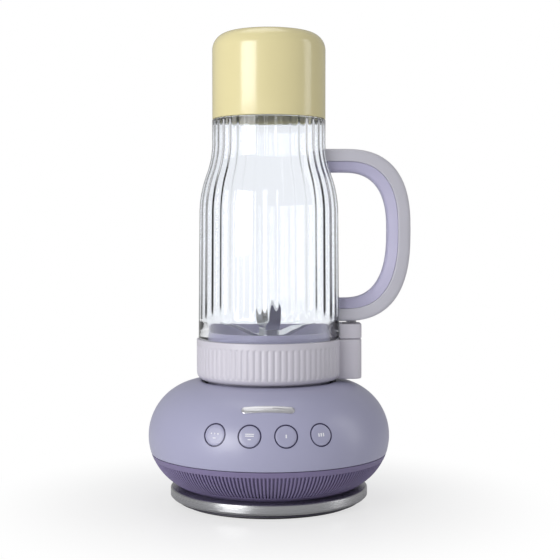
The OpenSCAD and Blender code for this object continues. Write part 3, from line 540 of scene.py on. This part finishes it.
def flutes_tree():
    """Presses upright flutes into a round wall, fading out at a low and a high level."""
    tree, given, out = tree_with("Upright flutes", (
        ("Count", "NodeSocketInt"), ("Depth", "NodeSocketFloat"), ("Low", "NodeSocketFloat"),
        ("High", "NodeSocketFloat"), ("Fade", "NodeSocketFloat"), ("Sharpness", "NodeSocketFloat"),
        ("Least radius", "NodeSocketFloat"), ("Finish", "NodeSocketMaterial")))
    got = {s.name: Value(tree, s) for s in given.outputs}
    place = tree.nodes.new("GeometryNodeInputPosition").outputs[0]
    parts = add_node(tree, "ShaderNodeSeparateXYZ", None, {0: place})
    x, y, z = (Value(tree, parts.outputs[i]) for i in range(3))
    radius = (x * x + y * y) ** 0.5
    wave = ((y.math("ARCTAN2", x) * got["Count"]).math("COSINE") * 0.5 + 0.5) ** got["Sharpness"]

    def ramp(value, low, high):
        node = add_node(tree, "ShaderNodeMapRange", {"interpolation_type": "SMOOTHSTEP"}, {
            "Value": value, "From Min": low, "From Max": high})
        return Value(tree, node.outputs[0])

    window = ramp(z, got["Low"], got["Low"] + got["Fade"]) * ramp(z, got["High"], got["High"] - got["Fade"])
    outer = radius.math("GREATER_THAN", got["Least radius"])
    push = wave * window * outer * got["Depth"] / radius
    shift = add_node(tree, "ShaderNodeCombineXYZ", None, {0: 0.0 - x * push, 1: 0.0 - y * push})
    moved = add_node(tree, "GeometryNodeSetPosition", None, {
        "Geometry": given.outputs["Geometry"], "Offset": shift.outputs[0]})
    done = add_node(tree, "GeometryNodeSetMaterial", None, {
        "Geometry": moved.outputs[0], "Material": given.outputs["Finish"]})
    tree.links.new(done.outputs[0], out.inputs[0])
    return tree


def through(mesh, tree, values):
    """A mesh put through a geometry tree whose named inputs take these values."""
    obj = scratch("work", mesh)
    modifier = obj.modifiers.new("Rule", "NODES")
    modifier.node_group = tree
    for item in tree.interface.items_tree:
        if item.in_out == "INPUT" and item.name in values:
            modifier[item.identifier] = values[item.name]
    return baked(obj)


TREES = {}


def shared(maker):
    """The tree that a function makes, made once."""
    if maker not in TREES:
        TREES[maker] = maker()
    return TREES[maker]


def copies(mesh, count, finish, step=None, start=0.0, rise=0.0):
    return through(mesh, shared(copies_tree), {"Count": count, "Step": TAU / count if step is None else step,
                                "Start": start, "Rise": rise * MM, "Finish": FINISH[finish]})


def fluted(mesh, finish, **values):
    return through(mesh, shared(flutes_tree), {**values, "Finish": FINISH[finish]})


def joined(name, meshes, angle=32.0):
    bm = bmesh.new()
    for mesh in meshes:
        bm.from_mesh(mesh)
    made = bpy.data.meshes.new(name)
    bm.to_mesh(made)
    bm.free()
    smooth(made, angle)
    return made


# ---------- the base's round body ----------

class Body:
    """The round section of the base and places on its surface."""

    def __init__(self, sizes):
        self.tube = (sizes.top - sizes.low) / 2 / MM
        self.level = (sizes.top + sizes.low) / 2 / MM
        self.centre = sizes.width / 2 / MM - self.tube

    def angle_at(self, z, inset=0.0):
        return math.degrees(math.asin((z - self.level) / (self.tube - inset)))

    def section(self, z0, z1, inset, n):
        """The side of the section between two levels, from low to high."""
        low, high = self.angle_at(z0, inset), self.angle_at(z1, inset)
        return arc(self.centre, self.level, self.tube - inset, low, high, n)

    def frame(self, turn, lift):
        """Centre and axes of a place on the front: right, up along the surface, and out."""
        out = Vector((math.cos(lift) * math.cos(turn), math.cos(lift) * math.sin(turn), math.sin(lift)))
        right = Vector((-math.sin(turn), math.cos(turn), 0))
        up = out.cross(right)
        ring = Vector((math.cos(turn), math.sin(turn), 0)) * self.centre + Vector((0, 0, self.level))
        return ring + out * self.tube, right, up, out

    def on(self, place, u, v, offset):
        """A point u across and v up from a place, at a depth measured from the surface."""
        centre, right, up, out = place
        start = centre + right * u + up * v
        t = offset
        for _ in range(6):
            p = start + out * t
            away = math.hypot(p.x, p.y)
            ring = Vector((p.x / away, p.y / away, 0)) * self.centre + Vector((0, 0, self.level))
            t += (self.tube + offset) - (p - ring).length
        return start + out * t

    def revolved(self, bm, place, profile, steps=96):
        """Turns (radius, depth) round a place's outward axis, following the surface."""
        rings = [[self.on(place, r * math.cos(TAU * i / steps), r * math.sin(TAU * i / steps), d)
                  for i in range(steps)] for r, d in profile]
        loops(bm, rings)


def button_places(body, sizes):
    lift = math.asin((sizes.button_height / MM - body.level) / body.tube)
    return [body.frame((i - 1.5) * sizes.button_step - math.pi / 2, lift) for i in range(4)]


# ---------- operators ----------

class BuildFinishes(bpy.types.Operator):
    """Make every finish and give each CAD node its own"""
    bl_idname = "blender_maker.finishes"
    bl_label = "Finishes"

    def execute(self, context):
        make_finishes(context.scene.blender_tints)
        for name, obj in frame["nodes"].items():
            obj.data.materials.clear()
            obj.data.materials.append(FINISH[SLOT_OF[name]])
        return {"FINISHED"}


class BuildHousing(bpy.types.Operator):
    """Build the upper housing, with its button openings cut through"""
    bl_idname = "blender_maker.housing"
    bl_label = "Upper housing"

    def execute(self, context):
        s = context.scene.blender_base
        body = Body(s)
        wall, seam = s.wall / MM, s.seam / MM + 0.3
        mouth = HOUSING_MOUTH
        top = math.degrees(math.acos((mouth + 0.8 - body.centre) / body.tube))
        outer = arc(body.centre, body.level, body.tube, body.angle_at(seam), top, 72)
        inner_top = math.degrees(math.acos((mouth + 1.8 - body.centre) / (body.tube - wall)))
        inner = arc(body.centre, body.level, body.tube - wall, inner_top, body.angle_at(seam, wall), 40)
        rim = [(mouth, outer[-1][1] - 0.5), (mouth, outer[-1][1] - 7.2), (mouth + 1.8, outer[-1][1] - 7.2)]
        bm = bmesh.new()
        spun(bm, soften(outer + rim + inner, 0.5), 288)
        shell = scratch("shell", finish_mesh(bm, "shell"))
        bm = bmesh.new()
        for place in button_places(body, s):
            centre, right, up, out = place
            r = (s.button + s.bezel) / MM + 0.05
            steps = [TAU * i / 96 for i in range(96)]
            circle = [right * (r * math.cos(a)) + up * (r * math.sin(a)) for a in steps]
            loops(bm, [[centre + p + out * d for p in circle] for d in (-8.0, 4.0)])
        cutter = scratch("cutter", finish_mesh(bm, "cutter"))
        cut = shell.modifiers.new("Openings", "BOOLEAN")
        cut.operation, cut.solver, cut.object = "DIFFERENCE", "EXACT", cutter
        mesh = baked(shell)
        bpy.data.objects.remove(cutter)
        smooth(mesh, 30)
        new_piece("housing_shell", mesh, "motor_base", "housing", ("upper_housing",))
        return {"FINISHED"}


class BuildSkirt(bpy.types.Operator):
    """Build the vent skirt: a plain band over a ring of fine slats"""
    bl_idname = "blender_maker.skirt"
    bl_label = "Vent skirt"

    def execute(self, context):
        s = context.scene.blender_base
        body = Body(s)
        seam, foot, wall = s.seam / MM, s.disc_top / MM, s.wall / MM
        band_low, rim_high = seam - 3.6, foot + 3.6
        inner = body.section(foot + 1.9, seam - 2.6, wall, 24)
        inner.insert(0, (inner[0][0], foot))
        outer = (body.section(seam - 0.1, band_low, 0.0, 6)
                 + body.section(band_low - 0.1, rim_high + 0.1, 1.5, 24)
                 + body.section(rim_high, foot, 0.0, 8))
        bm = bmesh.new()
        spun(bm, soften(inner + [(inner[-1][0], seam - 0.1)] + outer, 0.35), 224)
        wall_mesh = finish_mesh(bm, "skirt wall")
        bm = bmesh.new()
        half = s.slat_width / MM / 2
        rings = []
        for (x, z), (xi, zi) in zip(body.section(rim_high - 0.4, band_low + 0.4, 0.12, 12),
                                    body.section(rim_high - 0.4, band_low + 0.4, 1.9, 12)):
            rings.append([(xi, -half, zi), (x - 0.3, -half, z), (x, -half * 0.55, z), (x, half * 0.55, z),
                            (x - 0.3, half, z), (xi, half, zi)])
        loops(bm, [[Vector(p) for p in ring] for ring in rings])
        slat = finish_mesh(bm, "slat")
        slats = copies(slat, s.slats, "skirt")
        skirt = joined("skirt", [wall_mesh, slats])
        new_piece("vent_skirt_slats", skirt, "motor_base", "skirt", ("vent_skirt",))
        return {"FINISHED"}


class BuildFoot(bpy.types.Operator):
    """Build the metal base disc, the bottom cover and the rubber foot"""
    bl_idname = "blender_maker.foot"
    bl_label = "Disc and foot"

    def execute(self, context):
        s = context.scene.blender_base
        low, top = s.disc_low / MM, s.disc_top / MM
        edge, inside, outside = 64.0, 50.1, 56.9
        disc = [(DISC_BORE, low), (edge - 1.4, low), (edge, low + 1.4), (edge, top - 0.7), (edge - 0.7, top),
                (DISC_BORE, top)]
        foot = [(inside, 2.3), (inside, 0.5), (inside + 0.5, 0.0), (outside - 0.5, 0.0), (outside, 0.5),
                (outside, 2.3)]
        lathe("base_disc_turned", disc, "motor_base", "disc", ("base_disc",), steps=256, r=0.35)
        lathe("foot_ring_moulded", foot, "motor_base", "rubber", ("foot_ring",), steps=224, r=0.25)
        refined("bottom_cover")
        refined("cover_screws")
        return {"FINISHED"}


class BuildButtons(bpy.types.Operator):
    """Build the button caps, the dark lines round them and their plain printed marks"""
    bl_idname = "blender_maker.buttons"
    bl_label = "Buttons"

    def execute(self, context):
        s = context.scene.blender_base
        body = Body(s)
        r, line = s.button / MM, s.bezel / MM
        bm = bmesh.new()
        keys = ("extract", "smoothie", "low", "high")
        for i, place in enumerate(button_places(body, s)):
            a, b = r + 0.15, r + line
            steps = 96
            profile = [(a, -3.2), (a, -0.12), (a + 0.1, 0.0), (b - 0.1, 0.0), (b, -0.12), (b, -3.2),
                       (a, -3.2)]
            rings = [[body.on(place, q * math.cos(TAU * k / steps), q * math.sin(TAU * k / steps), d)
                      for k in range(steps)] for q, d in profile]
            loops(bm, rings, caps=False)
            cap = bmesh.new()
            stem, flange = 1.6, r + 1.4
            body.revolved(cap, place, [
                (stem, -10.4), (stem, -7.0), (flange, -7.0), (flange, -5.6), (r, -5.6), (r, -0.35),
                (r - 0.1, -0.12), (r - 0.35, 0.0), (r * 0.66, -0.05), (r * 0.3, -0.08)])
            new_piece(keys[i] + "_button_cap", finish_mesh(cap, keys[i]), keys[i] + "_key", "housing",
                      (keys[i] + "_button",))
            self.mark(body, place, keys[i], i)
        new_piece("button_outlines", finish_mesh(bm, "outlines"), "motor_base", "outline", ("button_bezels",))
        return {"FINISHED"}

    def mark(self, body, place, key, i):
        """Plain printed dots and bars, white on the cap."""
        under = [box_outline(2.0, 0.5, 0.2, 3, 0, -1.9)]
        shapes = (
            [box_outline(0.9, 0.9, 0.45, 4, x, 0.7) for x in (-2.2, 0.0, 2.2)] + under,
            [box_outline(5.4, 0.55, 0.25, 3, 0, y) for y in (0.2, 1.3)] + under,
            [box_outline(0.8, 2.2, 0.3, 3, 0, 0)],
            [box_outline(0.8, 2.2, 0.3, 3, x, 0) for x in (-1.5, 0, 1.5)],
        )[i]
        bm = bmesh.new()
        for outline in shapes:
            loops(bm, [[body.on(place, u, v, d) for u, v in outline] for d in (-0.2, 0.03)])
        new_piece(key + "_mark", finish_mesh(bm, key + " mark"), key + "_key", "housing", finish="mark")


def filled(outline, n):
    """Splits each long side of a closed outline into n parts."""
    out = []
    for i, (x, y) in enumerate(outline):
        xn, yn = outline[(i + 1) % len(outline)]
        k = n if math.hypot(xn - x, yn - y) > 5 else 1
        out += [(x + (xn - x) * j / k, y + (yn - y) * j / k) for j in range(k)]
    return out


class BuildBadge(bpy.types.Operator):
    """Build the blank polished badge over the buttons"""
    bl_idname = "blender_maker.badge"
    bl_label = "Badge"

    def execute(self, context):
        body = Body(context.scene.blender_base)
        place = body.frame(-math.pi / 2, math.radians(46))
        rings = [[body.on(place, u, v, d) for u, v in filled(box_outline(w, h, h / 2 - 0.01, 10), 24)]
                 for w, h, d in ((31.9, 4.9, 0.04), (31.9, 4.9, 0.35), (31.7, 4.7, 0.47), (31.3, 4.3, 0.56),
                                 (30.5, 3.5, 0.61), (29.3, 2.3, 0.63), (27.8, 0.8, 0.64))]
        bm = bmesh.new()
        made = loops(bm, rings, caps=False)
        for ring in (made[0], made[-1]):
            count, first = len(ring), 5
            pairs = [(ring[(first + k) % count], ring[(first - k) % count]) for k in range(count // 2 + 1)]
            for (a, b), (c, d) in zip(pairs, pairs[1:]):
                corners = list(dict.fromkeys((a, c, d, b)))
                if len(corners) > 2:
                    bm.faces.new(corners)
        new_piece("badge_blank", finish_mesh(bm, "badge"), "motor_base", "badge", ("front_badge",))
        return {"FINISHED"}


WORKS = (
    "well_liner", "liner_screws", "housing_screws", "seat_ring", "cord_gland", "drive_coupler",
    "interlock_pin", "interlock_switch", "motor_shaft", "motor_upper_frame",
    "motor_lower_frame", "motor_bearings", "motor_screws", "motor_isolators", "stator_core",
    "stator_coils", "rotor_core", "rotor_windings", "commutator", "carbon_brushes",
    "brush_holders", "cooling_fan", "fan_shroud", "control_board", "tact_switches",
    "power_board", "power_components",
)


class BuildWorks(bpy.types.Operator):
    """Refine the well, the motor, the boards and the drive inside the base"""
    bl_idname = "blender_maker.works"
    bl_label = "Motor and well"

    def execute(self, context):
        for node in WORKS:
            refined(node)
        return {"FINISHED"}


class BuildRing(bpy.types.Operator):
    """Build the fluted grip ring with its upright tab"""
    bl_idname = "blender_maker.ring"
    bl_label = "Grip ring"

    def execute(self, context):
        s = context.scene.blender_cup
        low, top, r = s.ring_low / MM, s.ring_top / MM, s.ring_radius / MM
        fillet, bore, deck, foot = 5.5, RING_BORE, low + 3.6, 39.9
        side = [(r, low + fillet + 0.6 + (top - 0.7 - low - fillet) * i / 40) for i in range(40)]
        points = (arc(r - fillet, low + fillet, fillet, -90, 0, 14) + side
                  + [(r, top - 0.6), (r - 0.18, top - 0.18), (r - 0.6, top), (bore, top), (bore, deck),
                     (foot, deck), (foot, low)])
        bm = bmesh.new()
        spun(bm, points, s.flutes * 10)
        ring = fluted(finish_mesh(bm, "ring"), "ring", Count=s.flutes, Depth=s.flute_depth,
                      Low=(low + 3.4) * MM, High=(top - 3.6) * MM, Fade=1.1 * MM, Sharpness=2.2,
                      **{"Least radius": (bore + 0.6) * MM})
        tab = bmesh.new()
        self.block(tab, low + 1.0, top, r - 1.0)
        lug = bmesh.new()
        loops(lug, [[Vector((x * math.cos(a), x * math.sin(a), low + 14.75 + h + a * THREAD_LEAD / TAU))
                     for x, h in ((43.6, -0.6), (43.6, 0.6), (45.3, 1.1), (45.3, -1.1))]
                    for a in [math.radians(-11 + 22 * i / 8) for i in range(9)]])
        lug_mesh = finish_mesh(lug, "lug")
        lugs = [copies(lug_mesh.copy(), 4, "ring", step=THREAD_STEP, start=math.pi / 2 + k, rise=THREAD_RISE)
                for k in (0.0, math.pi)]
        for mesh in lugs:
            mesh.transform(Matrix.Translation((0, 0, 2.4 * MM)))
        mesh = joined("grip ring", [ring, finish_mesh(tab, "tab"), *lugs])
        new_piece("grip_ring_fluted", mesh, "blade_base", "ring", ("grip_ring",))
        return {"FINISHED"}

    @staticmethod
    def block(bm, z0, z1, inside, out=60.0, width=22.0, corner=5.6, edge=1.0):
        """A block on the +X side with round outer corners and edges, whose back follows a cylinder."""
        rings = []
        for k in range(9):
            a = math.radians(90 * min(k, 8 - k) / 4)
            cut = edge * (1 - math.sin(a))
            z = (z0 + edge * (1 - math.cos(a))) if k < 5 else (z1 - edge * (1 - math.cos(a)))
            w, o = width / 2 - cut, out - cut
            c = corner - cut
            back = [(math.sqrt(inside ** 2 - y ** 2), y) for y in [w - 2 * w * i / 8 for i in range(9)]]
            front = arc(o - c, -w + c, c, -90, 0, 7) + arc(o - c, w - c, c, 0, 90, 7)
            rings.append([Vector((x, y, z)) for x, y in back + front])
        loops(bm, rings)


class BuildBlades(bpy.types.Operator):
    """Refine the deck, the bearings, the seals, the blades and the coupling"""
    bl_idname = "blender_maker.blades"
    bl_label = "Blade set"

    def execute(self, context):
        for node in ("blade_deck", "shaft_seal", "blade_shaft", "lower_blade", "upper_blade", "blade_spacer",
                     "blade_nut", "blade_coupling", "blade_bearings", "mouth_gasket"):
            refined(node)
        return {"FINISHED"}


def shoulder(s, inset, n=14):
    """The cup's S-shaped shoulder from the neck down to the wide part."""
    neck, wide, angle = s.neck_radius / MM, s.cup_radius / MM - 0.7, 20.5
    drop, low = wide - neck, s.boot_low / MM - 61
    spread = 1 - math.cos(math.radians(angle))
    r1, r2 = drop * 0.44 / spread, drop * 0.56 / spread
    high = low + (r1 + r2) * math.sin(math.radians(angle))
    x1, x2 = neck + r1, wide - r2
    upper = [(x1 - (r1 + inset) * math.cos(a), high - (r1 + inset) * math.sin(a))
             for a in [math.radians(angle * i / n) for i in range(n + 1)]]
    lower = [(x2 + (r2 - inset) * math.cos(a), low + (r2 - inset) * math.sin(a))
             for a in [math.radians(angle * i / n) for i in range(n - 1, -1, -1)]]
    return upper + lower


def spaced(points, step):
    """Adds points along straight stretches, so that they can be shaped."""
    out = [points[0]]
    for a, b in zip(points, points[1:]):
        gap = math.hypot(b[0] - a[0], b[1] - a[1])
        k = max(1, int(gap / step))
        out += [(a[0] + (b[0] - a[0]) * i / k, a[1] + (b[1] - a[1]) * i / k) for i in range(1, k + 1)]
    return out


class BuildCup(bpy.types.Operator):
    """Build the clear cup, smooth outside and ribbed inside"""
    bl_idname = "blender_maker.cup"
    bl_label = "Clear cup"

    def execute(self, context):
        s = context.scene.blender_cup
        wall, top, neck = s.cup_wall / MM, s.ring_top / MM, s.neck_radius / MM
        boot_low, end = s.boot_low / MM, s.boot_top / MM - 2.5
        foot, corner, mouth, mouth_z = 34.1, 8.5, CUP_MOUTH, CUP_MOUTH_LOW
        wide, step_low = s.cup_radius / MM, 114.2
        outer = ([(0, end)] + arc(foot - corner, end - corner, corner, 90, 0, 10)
                 + [(foot, boot_low - 0.3), (foot + 0.2, boot_low - 0.4), (neck - 0.3, boot_low - 0.4),
                    (neck, boot_low - 0.7)]
                 + shoulder(s, 0)
                 + [(wide, top + 0.9), (wide - 0.2, top + 0.45), (wide - 0.5, top + 0.3), (mouth, top + 0.3),
                    (mouth, mouth_z + 0.3), (mouth - 0.3, mouth_z), (mouth - wall + 0.3, mouth_z),
                    (mouth - wall, mouth_z + 0.3), (mouth - wall, step_low)])
        inner = ([(mouth - wall, step_low), (wide - 0.2 - wall, 117.2)] + shoulder(s, wall)[::-1]
                 + [(neck - wall, boot_low + 2), (foot - wall, boot_low + 5)]
                 + arc(foot - wall - 5.9, end - 3 - 5.9, 5.9, 0, 90, 8) + [(0, end - 3)])
        steps = s.waves * 8
        bm = bmesh.new()
        spun(bm, outer, steps, closed=False)
        outside = finish_mesh(bm, "outside", outward=False)
        bm = bmesh.new()
        spun(bm, spaced(inner, 3.0), steps, closed=False)
        inside = fluted(finish_mesh(bm, "inside", outward=False), "cup", Count=s.waves, Depth=-s.wave_depth,
                        Low=119 * MM, High=(end - 14) * MM, Fade=9 * MM, Sharpness=1.0,
                        **{"Least radius": 0.02})
        lug = bmesh.new()
        loops(lug, [[Vector((x * math.cos(a), x * math.sin(a), 91.0 + h + a * THREAD_LEAD / TAU))
                     for x, h in ((42.8, -1.1), (42.8, 1.1), (44.4, 0.6), (44.4, -0.6))]
                    for a in [math.radians(-11 + 22 * i / 8) for i in range(9)]])
        lug_mesh = finish_mesh(lug, "lug")
        lugs = [copies(lug_mesh.copy(), 8, "cup", step=THREAD_STEP, start=k, rise=THREAD_RISE)
                for k in (0.0, math.pi)]
        bm = bmesh.new()
        bm.from_mesh(outside)
        bm.from_mesh(inside)
        cup = finish_mesh(bm, "cup", scale=1.0, merge=2e-6)
        new_piece("cup_clear", joined("cup", [cup, *lugs], 40), "tumbler", "cup", ("tumbler_cup",))
        return {"FINISHED"}


class BuildBoot(bpy.types.Operator):
    """Build the glossy boot over the cup's narrow end"""
    bl_idname = "blender_maker.boot"
    bl_label = "Boot"

    def execute(self, context):
        s = context.scene.blender_cup
        low, top, r, corner, wall = s.boot_low / MM, s.boot_top / MM, s.neck_radius / MM - 0.1, 11.0, 2.2
        inner = corner - wall
        points = ([(0, top)] + arc(r - corner, top - corner, corner, 90, 0, 20)
                  + [(r, low + 0.7), (r - 0.2, low + 0.2), (r - 0.7, low), (r - wall + 0.4, low),
                      (r - wall, low + 0.4)]
                  + arc(r - wall - inner, top - wall - inner, inner, 0, 90, 14) + [(0, top - wall)])
        lathe("boot_moulded", points, "boot", "boot", ("foot_boot",), steps=224, r=0, closed=False)
        return {"FINISHED"}


class BuildHandle(bpy.types.Operator):
    """Build the two-part handle and its screws"""
    bl_idname = "blender_maker.handle"
    bl_label = "Handle"

    def execute(self, context):
        s = context.scene.blender_cup
        depth = s.handle_depth / MM
        side = depth / 2
        shell = self.outline([(0, side, 3.0), (8.0, side, 0.7), (8.0, -side, 0.7), (0, -side, 3.0)])
        grip = self.outline([(8.05, side - 2, 0.4), (14.7, side - 4.6, 2.0), (14.7, 4.6 - side, 2.0),
                             (8.05, 2 - side, 0.4)])
        for name, section, slot, node in (("handle_outer", shell, "shell", "handle_shell"),
                                          ("handle_inner", grip, "grip", "handle_grip")):
            bm = bmesh.new()
            loops(bm, self.sweep(s, section))
            new_piece(name, finish_mesh(bm, name), "tumbler", slot, (node,))
        refined("handle_screws")
        spring = refined("slider_spring", 60)
        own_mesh(spring)
        return {"FINISHED"}

    @staticmethod
    def outline(corners, n=6):
        """A closed section in (inset, across) whose corners each have their own radius."""
        out = []
        for i, (x, y, r) in enumerate(corners):
            p = Vector((x, y))
            a, b = Vector(corners[i - 1][:2]), Vector(corners[(i + 1) % len(corners)][:2])
            s, e = p + (a - p).normalized() * r, p + (b - p).normalized() * r
            for k in range(n + 1):
                t = k / n
                out.append(s * (1 - t) ** 2 + p * (2 * t * (1 - t)) + e * t * t)
        return out

    @staticmethod
    def sweep(s, section, power=2.6, n=72):
        """Rings of the section along the handle's line, from the upper root round to the lower root."""
        reach, low, top = s.handle_reach / MM, s.handle_low / MM, s.handle_top / MM
        middle = (s.boot_low / MM + s.ring_top / MM) / 2 - 1
        start = s.cup_radius / MM + 2.0
        profile = shoulder(s, -0.4)

        def radius(z):
            if z > profile[0][1]:
                return profile[0][0]
            for (x0, z0), (x1, z1) in zip(profile, profile[1:]):
                if z1 <= z <= z0:
                    return x0 + (x1 - x0) * (z0 - z) / (z0 - z1)
            return s.cup_radius / MM + 0.4

        def at(t, inset):
            across, up, down = reach - start - inset, top - middle - inset, middle - low - inset
            c, q = abs(math.cos(t)) ** (2 / power), abs(math.sin(t)) ** (2 / power)
            return start + across * c, (middle + up * q) if t > 0 else (middle - down * q)

        rings = []
        for end in (1, None, -1):
            if end is None:
                for i in range(1, n):
                    t = math.pi / 2 * (1 - 2 * i / n)
                    t = math.pi / 2 * math.copysign(abs(t / (math.pi / 2)) ** 0.8, t)
                    rings.append([Vector((at(t, i0)[0], y, at(t, i0)[1])) for i0, y in section])
                continue
            ring, side = [], []
            for i0, y in section:
                x, z = at(end * math.pi / 2, i0)
                root = math.sqrt(max(radius(z) ** 2 - y * y, 1.0))
                ring.append(Vector((root, y, z)))
                side.append(Vector((max(x, root + 1.0), y, z)))
            rings += [ring, side] if end == 1 else [side, ring]
        return rings


class BuildSlider(bpy.types.Operator):
    """Build the lock slider under the handle"""
    bl_idname = "blender_maker.slider"
    bl_label = "Lock slider"

    def execute(self, context):
        bm = bmesh.new()
        BuildRing.block(bm, 106.1, 115.7, 47.15)
        turns = [TAU * i / 32 for i in range(32)]
        loops(bm, [[Vector((SLIDER_STEM_X + 2.2 * math.cos(a), 2.2 * math.sin(a), z)) for a in turns]
                   for z in (113.0, 120.3)])
        new_piece("slider_block", finish_mesh(bm, "slider"), "slider", "ring", ("lock_slider",))
        return {"FINISHED"}


class BuildStage(bpy.types.Operator):
    """Build the floor, the lights and the camera"""
    bl_idname = "blender_maker.stage"
    bl_label = "Stage"

    def execute(self, context):
        scene = context.scene
        scene.view_settings.view_transform = "Standard"
        mesh = bpy.data.meshes.new("floor")
        mesh.from_pydata([(-6, -3, 0), (6, -3, 0), (6, 9, 0), (-6, 9, 0)], [], [(0, 1, 2, 3)])
        floor = scratch("studio_floor", mesh)
        f = Finish("Studio floor", (0.9, 0.9, 0.905), 0.3)
        seen = f.node("ShaderNodeLightPath")
        white = f.node("ShaderNodeEmission", None, {"Color": (1, 1, 1, 1), "Strength": 1.0})
        away = f.node("ShaderNodeMapRange", {"interpolation_type": "SMOOTHSTEP"}, {
            "Value": f.radius(), "From Min": 0.07, "From Max": 0.2, "To Min": 0.68, "To Max": 1.0}).outputs[0]
        mask = (Value(f.tree, seen.outputs["Is Camera Ray"]) * Value(f.tree, away)
                + Value(f.tree, seen.outputs["Is Transmission Ray"]) * 0.95)
        mixed = f.node("ShaderNodeMixShader", None, {0: mask, 1: f.shader.outputs[0], 2: white.outputs[0]})
        f.tree.links.new(mixed.outputs[0], f.output.inputs[0])
        mesh.materials.append(f.material)
        world = bpy.data.worlds.new("Studio")
        scene.world = world
        world.use_nodes = True
        tree = world.node_tree
        tree.nodes.clear()
        path = tree.nodes.new("ShaderNodeLightPath")
        direct, through_cup = (Value(tree, path.outputs[n]) for n in ("Is Camera Ray", "Is Transmission Ray"))
        shown = (direct + through_cup).math("MINIMUM", 1.0)
        level = shown * 0.62 + 0.38
        back = add_node(tree, "ShaderNodeBackground", None, {"Color": (1, 1, 1, 1), "Strength": level})
        add_node(tree, "ShaderNodeOutputWorld", None, {"Surface": back.outputs[0]})
        for name, spot, aim, size, power in (
                ("key", (-0.85, -1.0, 0.22), (0, 0, 0.14), (0.7, 1.0), 15.0),
                ("side", (1.0, -0.1, 0.4), (0, 0, 0.15), (0.3, 0.9), 1.8),
                ("top", (-0.1, 0.15, 1.3), (0, 0, 0), (0.7, 0.7), 2.6)):
            data = bpy.data.lights.new(name, "AREA")
            data.shape, data.size, data.size_y, data.energy = "RECTANGLE", size[0], size[1], power
            lamp = bpy.data.objects.new(name, data)
            scene.collection.objects.link(lamp)
            lamp.location = spot
            lamp.rotation_euler = (Vector(aim) - Vector(spot)).to_track_quat("-Z", "Y").to_euler()
        data = bpy.data.cameras.new("camera")
        camera = bpy.data.objects.new("camera", data)
        scene.collection.objects.link(camera)
        data.lens, data.sensor_width = 77.3, 36.0
        camera.location = (0.0072, -0.782, 0.172)
        camera.rotation_euler = (math.radians(90 - 2.08), 0, 0)
        scene.camera = camera
        return {"FINISHED"}


STEPS = (BuildFinishes, BuildHousing, BuildSkirt, BuildFoot, BuildButtons, BuildBadge, BuildWorks, BuildRing,
         BuildBlades, BuildCup, BuildBoot, BuildHandle, BuildSlider, BuildStage)


class BlenderPanel(bpy.types.Panel):
    """Lists the pieces and their sizes"""
    bl_idname = "VIEW3D_PT_blender_maker"
    bl_label = "Countertop blender"
    bl_space_type = "VIEW_3D"
    bl_region_type = "UI"
    bl_category = "Blender"

    def draw(self, context):
        for step in STEPS:
            self.layout.operator(step.bl_idname)
        for group in (context.scene.blender_base, context.scene.blender_cup, context.scene.blender_tints):
            box = self.layout.box()
            for name in group.__annotations__:
                box.prop(group, name)


GROUPS = {"blender_base": BaseSizes, "blender_cup": CupSizes, "blender_tints": Tints}


def register():
    for cls in (*GROUPS.values(), *STEPS, BlenderPanel):
        bpy.utils.register_class(cls)
    for name, cls in GROUPS.items():
        setattr(bpy.types.Scene, name, bpy.props.PointerProperty(type=cls))


def unregister():
    for name in GROUPS:
        delattr(bpy.types.Scene, name)
    for cls in reversed((*GROUPS.values(), *STEPS, BlenderPanel)):
        bpy.utils.unregister_class(cls)


def main():
    register()
    for step in STEPS:
        group, name = step.bl_idname.split(".")
        getattr(getattr(bpy.ops, group), name)()


if __name__ == "__main__":
    main()
